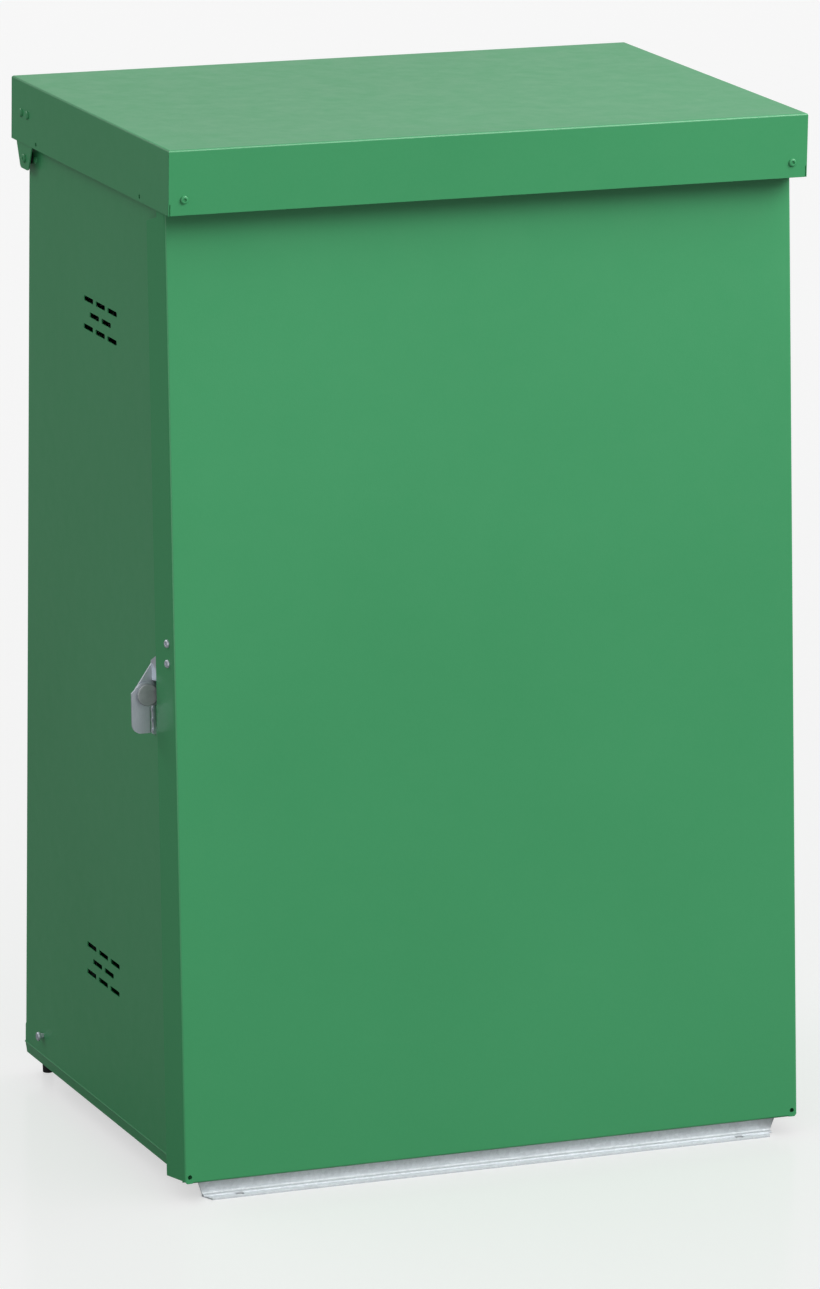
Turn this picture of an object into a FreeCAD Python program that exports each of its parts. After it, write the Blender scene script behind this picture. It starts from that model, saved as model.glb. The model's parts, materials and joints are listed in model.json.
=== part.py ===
import FreeCAD, Part
import math
import os

V = FreeCAD.Vector

# An outdoor steel street cabinet: folded and powder-coated side, back, door and lid sheets on a galvanised
# base. X runs across the front, Y from front to back, Z up; the origin is on the ground below the middle of
# the whole, with the latch that stands out on the left counted in.
# All sizes are in millimetres.

# ---- Overall sizes ----
cabinet_height = 1200.0        # ground to the top of the lid
lid_width = 780.0
lid_depth = 511.5
lid_skirt = 73.6               # height of the lid's four folded sides
front_lean_deg = 4.63          # the whole front slopes outwards towards the ground

# ---- How the main sheets lie to each other ----
sheet = 1.5                    # powder-coated steel sheet
lid_side_overhang = 10.0       # lid side to body side
lid_back_overhang = 32.4       # lid back to body back
lid_front_overhang = 30.4      # lid front to door face, at the skirt's lower edge
lid_seal = 3.0                 # rubber strip that the lid rests on
body_ground_gap = 24.5         # ground to the side panels' lower edge
door_ground_gap = 22.3         # ground to the door's lower edge
door_top_drop = 45.0           # lid top to door top
door_side_lap = 3.2            # door face to body side, each side
door_to_frame = 20.0           # door's outer face to the body's front edges

# ---- Folds of the sheets ----
bend_radius = 2.5
seam_slit = 1.0                # open corner seam of the lid skirt
seam_slit_height = 13.0
door_flange_depth = 40.0       # door sides folded back over the body
door_flange_flare = 6.5        # and flared outwards by this much
door_flange_top_depth = 18.0   # narrower where it passes up inside the lid
door_flange_cut_height = 14.0
door_hem = 10.0                # lower edge of the door folded back
door_hem_gap = 2.0
door_top_lip = 6.0
corner_hole_radius = 2.6
corner_hole_inset = 6.5        # door side to the hole
corner_hole_rise = 7.5         # door's lower edge to the hole
corner_clip = 3.0              # lower corners of the door's face cut off
hem_inset = 4.0               # ends of the door's hem and lip, from its sides
panel_front_return = 18.0
panel_back_return = 20.0
panel_top_return = 16.0
skirting_height = 13.8         # lower band of the side panels, below its crease
skirting_inset = 2.0
crease_proud = 1.2
crease_half = 1.6

back_rivet_count = 6
back_rivet_end = 60.0

# ---- Ventilation slots ----
slot_length = 30.0
slot_height = 6.0
slot_pitch = 38.4
slot_row_pitch = 16.4
slot_rows = (3, 2, 3)
slot_corner = 1.5
upper_vent_drop = 238.0        # lid top to the middle of the group
lower_vent_rise = 200.0        # ground to the middle of the group
upper_vent_setback = 239.0     # body back to the middle of the group
lower_vent_setback = 262.5

# ---- Galvanised base ----
galv = 2.0
sill_height = 60.0
sill_setback = 15.2            # door's lower edge to the sill's face
sill_end_inset = 19.0           # body side to the sill's end
sill_end_taper = 5.0
sill_taper_height = 17.0
toe_lead = 0.4                 # toe to the door's lower edge
toe_mitre = 7.0
sill_top_flange = 22.0
toe_slot_inset = 67.0           # body side to the toe's slot
toe_slot_length = 11.0
toe_slot_radius = 3.5
rail_height = 35.0
bracket_depth = 62.0           # angle brackets between the sill and the side rails
bracket_width = 34.0
bracket_top_gap = 6.0
sill_bolt_rises = (8.0, 22.0)  # side rail's lower edge to the two bolts
pan_head_rim = 2.5
pan_head_height = 3.0
rail_foot = 30.0
rear_bolt_inset = 80.0          # body side to the rear bolt hole
rear_bolt_radius = 5.5
foot_top_radius = 7.5
foot_bottom_radius = 6.0
foot_inset_x = 25.0
foot_inset_y = 9.5
foot_stud_radius = 4.0
foot_stud_length = 8.0

# ---- Lid hinges ----
hinge_setback = 7.6            # body back to the pivot
hinge_below_skirt = 17.0       # lid skirt's lower edge to the pivot
hinge_ear_drop = 13.0           # pivot to the ear's lower edge
hinge_ear_foot_half = 13.0      # half the ear's width there
hinge_ear_corner = 6.0
hinge_ear_width = 52.0
hinge_ear_lean = 1.0           # ear's middle to the pivot, at the skirt's lower edge
hinge_plate_top_drop = 24.0
pivot_pin_radius = 4.0
pivot_clearance = 0.08
pivot_head_radius = 5.5
pivot_head_height = 1.1
bush_radius = 7.0
bush_gap = 0.3
plate_rivet_drop = 38.0
plate_rivet_setbacks = (0.8, 21.0)
wall_rivet_ahead = 14.5        # pivot to the rivet of the backing plate
backing_plate_half = 11.0
notch_clearance = 2.0          # top rear rail, cut away round the backing plates
notch_width = 14.0
notch_rise = 40.0
rivet_head_radius = 4.8
rivet_head_height = 2.2
rivet_shank_radius = 2.4
corner_rivet_inset = 18.5
corner_rivet_rise = 17.5
corner_tab = 30.0
lid_stiffener_width = 60.0
lid_stiffener_drop = 18.0
lid_stiffener_end_gap = 30.0   # side panel's top return to the stiffener
skirt_hole_radius = 2.5
skirt_hole_rise = 6.0
skirt_hole_setbacks = (50.0, 388.0)

# ---- Door hanging ----
hanger_inset = 110.0            # body side to the middle of a hanger
hanger_pin_radius = 4.0
hanger_pin_setback = 10.0      # door's outer face to the pin
hanger_pin_drop = 14.0         # door top to the pin
hanger_clearance = 0.3
hanger_cheek = 3.0
hanger_base = 1.2
hanger_head = 1.5              # rim and thickness of the pin's head
hanger_gap = 1.0               # hook to cheek, each side
hook_thickness = 4.0
hook_radius = 8.0

# ---- Door stiffening and seals ----
stiffener_depth = 14.0
stiffener_width = 46.0
stiffener_side_gap = 6.0       # door's folded side to the stiffener
stiffener_end_gap = 44.0
stiffener_top_gap = 62.0
seal_width = 12.0
seal_gap = 0.3                 # door to its seal

# ---- Side latch ----
latch_height = 557.0           # door's lower edge to the latch pivot, along the door
latch_gap_behind = 4.6         # door flange's rear edge to the boss
latch_pivot_out = 17.6         # body side to the pivot
boss_radius = 12.6
boss_thickness = 4.4
boss_edge = 1.4
latch_plate = 2.5
latch_play = 0.5
spindle_radius = 3.5
lever_rim = 14.8
lever_reach_out = 18.6         # pivot to the lever's outer edge
lever_inner_reach = 4.4        # pivot to the lever's inner edge
lever_drop = 44.0
lever_corner = 11.0
lever_return = 7.0
lever_wall_gap = 4.6           # lever to the body side
lever_neck_fall = 6.0          # pivot to where the lever narrows
pad_reach = 14.5
bracket_rise = 54.0            # pivot to the top of the bracket's visible arm
bracket_leg_rise = 84.0
bracket_leg_fall = 12.0
bracket_leg_start = 6.0        # door's face to the leg's front edge
steady_lip_half = 9.0
steady_lip_gap = 1.5           # lip to the body side
bracket_neck_rise = 15.8       # pivot to the lower edge of the strap behind the flange
rivet_rises = (39.6, 62.4)     # pivot to the two rivets
rivet_setback = 26.0           # door flange's rear edge to the rivets
keeper_gap = 2.0               # pad to the keeper's upright
cam_play = 1.0                 # keeper's upright to the cam
cam_wall_gap = 1.0             # turned cam to the keeper's wall leg
cam_half_width = 4.5
cam_hub_radius = 6.5
nut_radius = 6.1
nut_height = 3.0
keeper_plate = 2.5
keeper_reach = 9.0
keeper_rise = 19.0
keeper_fall = 14.0
keeper_wall_depth = 21.0
keeper_tail = 36.0
keeper_tail_width = 7.0
keeper_screw_falls = (22.0, 34.0, 46.0)
keeper_screw_radius = 1.9
keeper_screw_head = 0.9
keeper_screw_head_radius = 2.8

# ---- Top rails and fit-out ----
top_rail_height = 66.0
top_rail_depth = 24.0
mount_rail_width = 40.0
mount_rail_depth = 25.0
mount_rail_inset = 60.0        # body side to the rail's middle
mount_rail_low = 110.0
mount_rail_top_gap = 90.0
rail_hole_pitch = 100.0
rail_hole_end = 20.0           # rail's end to the nearest hole
rail_hole_radius = 4.25
plate_thickness = 2.5
plate_rise = 310.0             # mounting rails' lower ends to the plate
plate_top_gap = 125.5          # plate to the mounting rails' upper ends
plate_bolt_inset = 60.0
equipment_hole_radius = 3.5    # four holes for the equipment's screws
equipment_hole_across = 400.0
equipment_hole_up = 300.0
bolt_radius = 4.0
bolt_head_radius = 7.5
bolt_head_height = 5.3
cable_rail_z = 190.0
cable_rail_height = 40.0
cable_rail_depth = 22.0
cable_slot_pitch = 50.0
cable_slot_width = 9.0
cable_slot_height = 24.0
earth_bar_z = 285.0
earth_bar_length = 300.0
earth_bar_height = 25.0
earth_bar_thickness = 5.0
earth_bolt_pitch = 45.0
earth_bolt_end = 15.0
earth_support_rim = 4.0        # support strip beyond the bar, above and below
standoff_length = 14.0
standoff_radius = 8.0
standoff_inset = 20.0          # bar's end to the stand-off's middle
side_screw_setback = 60.0      # body back to the side panel's lower screw
side_screw_z = 61.5
side_screw_radius = 5.4
side_screw_head = 3.2
side_screw_neck = 3.2
side_screw_edge = 1.2
side_screw_proud = 4.4

# ---- Places worked out from the sizes above ----
lean = math.radians(front_lean_deg)
skirt_bottom_z = cabinet_height - lid_skirt
foot_reach = (skirt_bottom_z - door_ground_gap) * math.tan(lean) - lid_front_overhang
overall_depth = lid_depth + foot_reach + toe_lead
lid_back_y = overall_depth / 2.0
lid_front_y = lid_back_y - lid_depth
body_back_y = lid_back_y - lid_back_overhang
door_foot_y = lid_front_y - foot_reach
body_half = lid_width / 2.0 - lid_side_overhang
lid_half = lid_width / 2.0
body_top_z = cabinet_height - sheet - lid_seal
door_half = body_half + door_side_lap
door_length = (cabinet_height - door_top_drop - door_ground_gap) / math.cos(lean)
sill_face_y = door_foot_y + sill_setback
toe_front_y = door_foot_y - toe_lead
pivot_y = body_back_y - hinge_setback
pivot_z = skirt_bottom_z - hinge_below_skirt
base_top_z = sill_height + door_hem_gap
sill_half_length = body_half - sill_end_inset
toe_slot_x = body_half - toe_slot_inset
rear_bolt_x = body_half - rear_bolt_inset
hanger_x = body_half - hanger_inset
inner_half = body_half - sheet


def frame_front_y(z):
    """Y of the body's sloping front edge at a height."""
    return door_foot_y + (z - door_ground_gap) * math.tan(lean) + door_to_frame / math.cos(lean)


# The door and all that follows its slope are drawn upright, with the face at y = 0 and its lower edge at
# z = 0, and are then leaned back by this placement.
on_door = FreeCAD.Placement(V(0, door_foot_y, door_ground_gap),
                            FreeCAD.Rotation(V(1, 0, 0), -front_lean_deg))


# ---- Shape helpers ----
def box(x0, x1, y0, y1, z0, z1):
    return Part.makeBox(x1 - x0, y1 - y0, z1 - z0, V(x0, y0, z0))


def prism(points, along):
    """Solid from a flat polygon of vectors, pushed along a vector."""
    return Part.Face(Part.makePolygon(points + [points[0]])).extrude(along)


def prism_yz(points, x0, x1):
    return prism([V(x0, y, z) for y, z in points], V(x1 - x0, 0, 0))


def prism_xz(points, y0, y1):
    return prism([V(x, y0, z) for x, z in points], V(0, y1 - y0, 0))


def prism_xy(points, z0, z1):
    return prism([V(x, y, z0) for x, y in points], V(0, 0, z1 - z0))


def rod(start, direction, radius, length):
    return Part.makeCylinder(radius, length, start, direction)


def join(shapes):
    solid = shapes[0]
    for shape in shapes[1:]:
        solid = solid.fuse(shape)
    return solid.removeSplitter()


def mirrored(shape):
    """The same piece for the other side of the cabinet."""
    return shape.mirror(V(0, 0, 0), V(1, 0, 0))


def both_sides(shape):
    return [shape, mirrored(shape)]


def leaned(shape):
    placed = shape.copy()
    placed.Placement = on_door.multiply(placed.Placement)
    return placed


def dome_rivet(centre, outwards, grip, radius=rivet_head_radius, height=rivet_head_height,
               shank=rivet_shank_radius):
    """Rivet with a low dome on the surface at centre and a shank of the grip's length below it."""
    sphere_radius = (radius ** 2 + height ** 2) / (2.0 * height)
    ball_centre = centre + outwards * (height - sphere_radius)
    cap = Part.makeSphere(sphere_radius, ball_centre)
    keep = Part.makeCylinder(radius + 1.0, height + 1.0, centre, outwards)
    stem = Part.makeCylinder(shank, grip, centre - outwards * grip, outwards)
    return cap.common(keep).fuse(stem).removeSplitter()


def hex_bolt(centre, outwards, shank_length, shank=bolt_radius, head=bolt_head_radius,
             height=bolt_head_height):
    """Hexagon head on the surface at centre, with its shank running back from it."""
    across = outwards.cross(V(1, 0, 0))
    if across.Length < 0.5:
        across = outwards.cross(V(0, 1, 0))
    across.normalize()
    up = outwards.cross(across)
    corners = []
    for step in range(6):
        turn = math.radians(60.0 * step)
        corners.append(centre + across * (head * math.cos(turn)) + up * (head * math.sin(turn)))
    stem = Part.makeCylinder(shank, shank_length, centre - outwards * shank_length, outwards)
    return prism(corners, outwards * height).fuse(stem).removeSplitter()


def holes(points, direction, radius, length):
    return [Part.makeCylinder(radius, length, point, direction) for point in points]


# ---- Side panels ----
def vent_slots(middle_y, middle_z):
    """Rows of slots, each row shifted by half a pitch from the next, as cutters through the left panel."""
    cutters = []
    for row, count in enumerate(slot_rows):
        z = middle_z + (len(slot_rows) - 1 - 2 * row) / 2.0 * slot_row_pitch
        for place in range(count):
            y = middle_y + (2 * place - (count - 1)) / 2.0 * slot_pitch
            slot = box(-body_half - 3.0, -body_half + 3.0, y - slot_length / 2.0,
                       y + slot_length / 2.0, z - slot_height / 2.0, z + slot_height / 2.0)
            across = [edge for edge in slot.Edges if edge.BoundBox.XLength > 5.0]
            cutters.append(slot.makeFillet(slot_corner, across))
    return cutters


def side_panel():
    """Left side sheet with front, back and top returns, a creased lower band and vent slots."""
    crease_z = body_ground_gap + skirting_height
    outer = -body_half
    inner = outer + sheet
    low = skirting_inset
    section = [(outer, body_top_z), (outer, crease_z + crease_half), (outer - crease_proud, crease_z),
               (outer, crease_z - crease_half), (outer + low, body_ground_gap),
               (inner + low, body_ground_gap), (inner, crease_z - crease_half),
               (inner, body_top_z)]
    skin = prism_xz(section, toe_front_y, body_back_y)
    outline = [(frame_front_y(body_ground_gap), body_ground_gap), (body_back_y, body_ground_gap),
               (body_back_y, body_top_z), (frame_front_y(body_top_z), body_top_z)]
    skin = skin.common(prism_yz(outline, outer - 5.0, outer + 10.0))
    step = sheet / math.cos(lean)
    front = prism_yz([(frame_front_y(base_top_z), base_top_z),
                      (frame_front_y(base_top_z) + step, base_top_z),
                      (frame_front_y(body_top_z) + step, body_top_z),
                      (frame_front_y(body_top_z), body_top_z)], outer, outer + panel_front_return)
    back = box(outer, outer + panel_back_return, body_back_y - sheet, body_back_y, base_top_z, body_top_z)
    top = box(outer, outer + panel_top_return, frame_front_y(body_top_z), body_back_y,
              body_top_z - sheet, body_top_z)
    solid = join([skin, front, back, top])
    cutters = vent_slots(body_back_y - upper_vent_setback, cabinet_height - upper_vent_drop)
    cutters += vent_slots(body_back_y - lower_vent_setback, lower_vent_rise)
    through = V(1, 0, 0)
    start = outer - 2.0
    wall_rivet = V(start, pivot_y - wall_rivet_ahead, pivot_z)
    cutters += holes([V(start, pivot_y, pivot_z)], through, pivot_pin_radius, 5.0)
    cutters += holes([wall_rivet], through, rivet_shank_radius, 5.0)
    cutters += holes([V(start, body_back_y - side_screw_setback, side_screw_z)], through,
                     side_screw_neck, 5.0)
    cutters += holes(back_rivet_places(), V(0, -1, 0), rivet_shank_radius, 2.0 * sheet)
    return solid.cut(Part.makeCompound(cutters)).removeSplitter()


def back_panel():
    """Back sheet between the side panels' returns."""
    half = inner_half
    front = body_back_y - 2.0 * sheet
    high = body_top_z - sheet
    panel = box(-half, half, front, body_back_y - sheet, body_ground_gap + rail_height, high)
    top = box(-half, half, front - panel_top_return, front, high - sheet, high)
    rivet_holes = holes(back_rivet_places(), V(0, -1, 0), rivet_shank_radius, 3.0 * sheet)
    cutters = [shape for hole in rivet_holes for shape in both_sides(hole)]
    return join([panel, top]).cut(Part.makeCompound(cutters))


def back_rivet_places():
    """Points on the left panel's back return."""
    step = (body_top_z - base_top_z - 2.0 * back_rivet_end) / (back_rivet_count - 1)
    return [V(-body_half + panel_back_return / 2.0, body_back_y, base_top_z + back_rivet_end + step * number)
            for number in range(back_rivet_count)]


def back_panel_rivets():
    """Rivets through the side panels' back returns."""
    rivets = [dome_rivet(spot, V(0, 1, 0), 2.0 * sheet) for spot in back_rivet_places()]
    return [shape for rivet in rivets for shape in both_sides(rivet)]


def top_front_rail():
    """Channel across the top of the front opening, leaned like the door."""
    half = inner_half
    low = body_top_z - top_rail_height
    step = galv / math.cos(lean)
    setback = sheet / math.cos(lean)

    def face(z):
        return frame_front_y(z) + setback

    web = prism_yz([(face(low), low), (face(low) + step, low), (face(body_top_z - sheet) + step,
                    body_top_z - sheet), (face(body_top_z - sheet), body_top_z - sheet)], -half, half)
    lower = prism_yz([(face(low), low), (face(low) + top_rail_depth, low),
                      (face(low) + top_rail_depth, low + galv), (face(low + galv), low + galv)],
                     -half, half)
    upper_y = face(body_top_z - sheet)
    upper = box(-half, half, upper_y, upper_y + top_rail_depth, body_top_z - sheet - galv,
                body_top_z - sheet)
    return join([web, lower, upper])


def top_rear_rail():
    """Angle inside the back panel's upper edge, between the mounting rails' heads."""
    half = inner_half
    back = body_back_y - 2.0 * sheet
    top = body_top_z - 2.0 * sheet
    web = box(-half, half, back - galv, back, top - top_rail_height, top)
    foot = box(-half, half, back - top_rail_depth, back, top - top_rail_height,
               top - top_rail_height + galv)
    solid = join([web, foot])
    notch_y = pivot_y - wall_rivet_ahead - backing_plate_half - notch_clearance
    for cutter in both_sides(box(-half - 1.0, -half + notch_width, notch_y, body_back_y,
                                 pivot_z - notch_rise, pivot_z + notch_rise)):
        solid = solid.cut(cutter)
    return solid


# ---- Base ----
def front_sill():
    """Galvanised sill: upright face, toe turned forwards on the ground and a flange at the top."""
    face = sill_face_y
    half = sill_half_length
    end = half - sill_end_taper
    web_outline = [(-half, sill_height), (-half, sill_taper_height), (-end, 0.0), (end, 0.0),
                   (half, sill_taper_height), (half, sill_height)]
    web = prism_xz(web_outline, face, face + galv)
    toe = prism_xy([(-end, face + galv), (-end, face), (-end + toe_mitre, toe_front_y),
                    (end - toe_mitre, toe_front_y), (end, face), (end, face + galv)], 0.0, galv)
    top = box(-half, half, face, face + sill_top_flange, sill_height - galv, sill_height)
    solid = join([web, toe, top])
    middle = (toe_front_y + face) / 2.0
    run = toe_slot_length / 2.0 - toe_slot_radius
    cutters = []
    for side in (-1, 1):
        x = side * toe_slot_x
        cutters.append(box(x - run, x + run, middle - toe_slot_radius, middle + toe_slot_radius, -1.0,
                           galv + 1.0))
        for end_x in (x - run, x + run):
            cutters.append(rod(V(end_x, middle, -1.0), V(0, 0, 1), toe_slot_radius, galv + 2.0))
    for x, z in sill_bolt_places():
        cutters.append(rod(V(x, face - 1.0, z), V(0, 1, 0), bolt_radius, galv + 2.0))
        cutters.append(rod(V(-x, face - 1.0, z), V(0, 1, 0), bolt_radius, galv + 2.0))
    return solid.cut(Part.makeCompound(cutters))


rail_outer_x = inner_half - skirting_inset
rail_front_y = sill_face_y + sill_top_flange + 3.0
rear_rail_face_y = body_back_y - 2.0 * sheet
rail_back_y = rear_rail_face_y - rail_foot
rail_low = body_ground_gap + 1.0


def base_rail():
    """Left side rail of the base: an angle that carries the side panel's lower band."""
    x = -rail_outer_x
    upright = box(x, x + galv, rail_front_y, rail_back_y, rail_low, rail_low + rail_height)
    foot = box(x, x + rail_foot, rail_front_y, rail_back_y, rail_low, rail_low + galv)
    screw = rod(V(x - 1.0, body_back_y - side_screw_setback, side_screw_z), V(1, 0, 0),
                side_screw_neck, galv + 2.0)
    return join([upright, foot]).cut(screw)


def rear_base_rail():
    """Rear rail of the base, with the feet below it and holes for ground bolts."""
    half = rail_outer_x
    web = box(-half, half, rear_rail_face_y - galv, rear_rail_face_y, rail_low, rail_low + rail_height)
    foot = box(-half, half, rail_back_y, rear_rail_face_y, rail_low, rail_low + galv)
    solid = join([web, foot])
    middle = (rail_back_y + rear_rail_face_y - galv) / 2.0
    cutters = []
    for side in (-1, 1):
        cutters.append(rod(V(side * rear_bolt_x, middle, rail_low - 1.0), V(0, 0, 1),
                           rear_bolt_radius, galv + 2.0))
        cutters.append(rod(V(side * (body_half - foot_inset_x), body_back_y - foot_inset_y,
                             rail_low - 1.0), V(0, 0, 1), foot_stud_radius, galv + 2.0))
    return solid.cut(Part.makeCompound(cutters))


def rear_foot():
    """Tapered rubber foot under a rear corner, with a stud up through the rail."""
    x = -(body_half - foot_inset_x)
    y = body_back_y - foot_inset_y
    cone = Part.makeCone(foot_bottom_radius, foot_top_radius, rail_low, V(x, y, 0), V(0, 0, 1))
    stud = rod(V(x, y, rail_low), V(0, 0, 1), foot_stud_radius, foot_stud_length)
    return join([cone, stud])


def sill_bolt_places():
    """X and Z of the two bolts at the left end of the sill."""
    x = -(rail_outer_x - galv - bracket_width / 2.0)
    return [(x, rail_low + rise) for rise in sill_bolt_rises]


def sill_bracket():
    """Left angle bracket between the sill and the side rail."""
    outer = -(rail_outer_x - galv)
    low = rail_low + galv
    high = rail_low + rail_height - bracket_top_gap
    back = sill_face_y + galv
    plate = box(outer, outer + bracket_width, back, back + galv, low, high)
    leg = box(outer, outer + galv, back, back + bracket_depth, low, high)
    solid = join([plate, leg])
    bolts = [rod(V(x, back - 1.0, z), V(0, 1, 0), bolt_radius, galv + 2.0)
             for x, z in sill_bolt_places()]
    return solid.cut(Part.makeCompound(bolts))


def sill_bolts():
    """Bolts of both brackets, with their heads inside."""
    bolts = []
    back = sill_face_y + 2.0 * galv
    for x, z in sill_bolt_places():
        bolts.append(rod(V(x, back - 2.0 * galv, z), V(0, 1, 0), bolt_radius, 2.0 * galv).fuse(
            rod(V(x, back, z), V(0, 1, 0), bolt_radius + pan_head_rim, pan_head_height)).removeSplitter())
    return [shape for bolt in bolts for shape in both_sides(bolt)]


# ---- Lid ----
def lid_shell():
    """Folded lid with four skirts, open corner seams and tabs behind the front skirt."""
    outer = box(-lid_half, lid_half, lid_front_y, lid_back_y, skirt_bottom_z, cabinet_height)
    rounded = [edge for edge in outer.Edges if edge.BoundBox.ZMin > cabinet_height - 0.1]
    outer = outer.makeFillet(bend_radius, rounded)
    inner = box(-lid_half + sheet, lid_half - sheet, lid_front_y + sheet, lid_back_y - sheet,
                skirt_bottom_z - 1.0, cabinet_height - sheet)
    tops = [edge for edge in inner.Edges if edge.BoundBox.ZMin > cabinet_height - sheet - 0.1]
    solid = outer.cut(inner.makeFillet(bend_radius - sheet, tops))
    for side in (-1, 1):
        x = side * (lid_half - sheet)
        low_x = min(x, x - side * corner_tab)
        tab = box(low_x, low_x + corner_tab, lid_front_y + sheet, lid_front_y + 2.0 * sheet,
                  skirt_bottom_z + 2.0, cabinet_height - 12.0)
        solid = solid.fuse(tab)
        slit_x = side * (lid_half - sheet)
        solid = solid.cut(box(slit_x - seam_slit / 2.0, slit_x + seam_slit / 2.0, lid_front_y - 1.0,
                              lid_front_y + sheet, skirt_bottom_z - 1.0,
                              skirt_bottom_z + seam_slit_height))
    cutters = []
    start = -lid_half - 1.0
    for setback in skirt_hole_setbacks:
        cutters.append(rod(V(start, body_back_y - setback, skirt_bottom_z + skirt_hole_rise),
                           V(1, 0, 0), skirt_hole_radius, lid_width + 2.0))
    for setback in plate_rivet_setbacks:
        cutters.append(rod(V(start, body_back_y - setback, cabinet_height - plate_rivet_drop),
                           V(1, 0, 0), rivet_shank_radius, lid_width + 2.0))
    for side in (-1, 1):
        cutters.append(rod(V(side * (lid_half - corner_rivet_inset), lid_front_y - 1.0,
                             skirt_bottom_z + corner_rivet_rise), V(0, 1, 0), rivet_shank_radius,
                           3.0 * sheet + 2.0))
    return solid.cut(Part.makeCompound(cutters)).removeSplitter()


hinge_plate_x = -(lid_half - sheet)


def lid_hinge_plate():
    """Left hinge plate: riveted inside the side skirt, with an ear below it."""
    top = cabinet_height - hinge_plate_top_drop
    middle = pivot_y + hinge_ear_lean
    half = hinge_ear_width / 2.0
    back_limit = lid_back_y - sheet - 1.0
    left = middle - half
    right = min(middle + half, back_limit)
    ear_low = pivot_z - hinge_ear_drop
    solid = prism_yz([(left, top), (left, skirt_bottom_z), (pivot_y - hinge_ear_foot_half, ear_low),
                      (pivot_y + hinge_ear_foot_half, ear_low),
                      (right, skirt_bottom_z), (right, top)], hinge_plate_x, hinge_plate_x + sheet)
    corners = [edge for edge in solid.Edges
               if abs(edge.BoundBox.ZMin - ear_low) < 0.01 and abs(edge.BoundBox.ZMax - ear_low) < 0.01
               and edge.BoundBox.YLength < 0.01]
    solid = solid.makeFillet(hinge_ear_corner, corners)
    cutters = [rod(V(hinge_plate_x - 1.0, pivot_y, pivot_z), V(1, 0, 0),
                   pivot_pin_radius + pivot_clearance, sheet + 2.0)]
    for setback in plate_rivet_setbacks:
        cutters.append(rod(V(hinge_plate_x - 1.0, body_back_y - setback,
                             cabinet_height - plate_rivet_drop), V(1, 0, 0), rivet_shank_radius,
                           sheet + 2.0))
    return solid.cut(Part.makeCompound(cutters))


def hinge_pin():
    """Left pivot: a rivet from inside the wall to a low head outside the hinge plate."""
    outside = hinge_plate_x - bush_gap
    inside = -inner_half + galv
    shank = rod(V(outside, pivot_y, pivot_z), V(1, 0, 0), pivot_pin_radius, inside - outside)
    head = dome_rivet(V(outside, pivot_y, pivot_z), V(-1, 0, 0), 0.5, pivot_head_radius,
                      pivot_head_height, pivot_pin_radius)
    tail_radius = min(pivot_head_radius, hinge_setback - 2.0 * sheet - bush_gap)
    tail = rod(V(inside, pivot_y, pivot_z), V(1, 0, 0), tail_radius, 2.0)
    return join([shank, head, tail])


def hinge_bush():
    """Left spacer between the wall and the hinge plate."""
    length = (-hinge_plate_x) - sheet - bush_gap - body_half
    tube = rod(V(-body_half - length, pivot_y, pivot_z), V(1, 0, 0), bush_radius, length)
    return tube.cut(rod(V(-body_half - length - 1.0, pivot_y, pivot_z), V(1, 0, 0), pivot_pin_radius,
                        length + 2.0))


def hinge_backing_plate():
    """Left plate inside the wall that spreads the hinge's load."""
    x = -inner_half
    front = pivot_y - wall_rivet_ahead - backing_plate_half
    back = min(pivot_y + backing_plate_half, body_back_y - 2.0 * sheet - 0.5)
    plate = box(x, x + galv, front, back, pivot_z - backing_plate_half, pivot_z + backing_plate_half)
    pin = rod(V(x - 1.0, pivot_y, pivot_z), V(1, 0, 0), pivot_pin_radius, galv + 2.0)
    rivet = rod(V(x - 1.0, pivot_y - wall_rivet_ahead, pivot_z), V(1, 0, 0), rivet_shank_radius,
                galv + 2.0)
    return plate.cut(pin).cut(rivet)


def lid_seal_strip():
    """Rubber strip round the top of the body, under the lid and ahead of its pivots."""
    half = body_half
    front = frame_front_y(body_top_z)
    back = pivot_y - bush_gap
    outer = box(-half, half, front, back, body_top_z, body_top_z + lid_seal)
    inner = box(-half + seal_width, half - seal_width, front + seal_width, back - seal_width,
                body_top_z - 1.0, body_top_z + lid_seal + 1.0)
    return outer.cut(inner)


def lid_stiffener():
    """Hat channel under the lid, from side to side."""
    half = body_half - panel_top_return - lid_stiffener_end_gap
    reach = lid_stiffener_width / 2.0
    y = (lid_front_y + lid_back_y) / 2.0
    top = cabinet_height - sheet
    low = top - lid_stiffener_drop
    outer = box(-half, half, y - reach, y + reach, low, top)
    hollow = box(-half - 1.0, half + 1.0, y - reach + sheet, y + reach - sheet, low + sheet, top + 1.0)
    return outer.cut(hollow)


# ---- Door, drawn upright ----
def door_flange_x(y):
    """Outer face of the left flared flange at a depth behind the door's face."""
    return -(door_half + door_flange_flare * y / door_flange_depth)


flange_turn = math.atan2(door_flange_flare, door_flange_depth)
flange_out = V(-math.cos(flange_turn), -math.sin(flange_turn), 0)


def latch_rivet_spots():
    """Points on the left flange's outer face."""
    y = door_flange_depth - rivet_setback
    return [V(door_flange_x(y), y, latch_height + rise) for rise in rivet_rises]


def latch_rivet_holes():
    grip = sheet + latch_plate + 1.0
    return [rod(spot + flange_out, flange_out * -1.0, rivet_shank_radius, grip + 1.0)
            for spot in latch_rivet_spots()]


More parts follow.
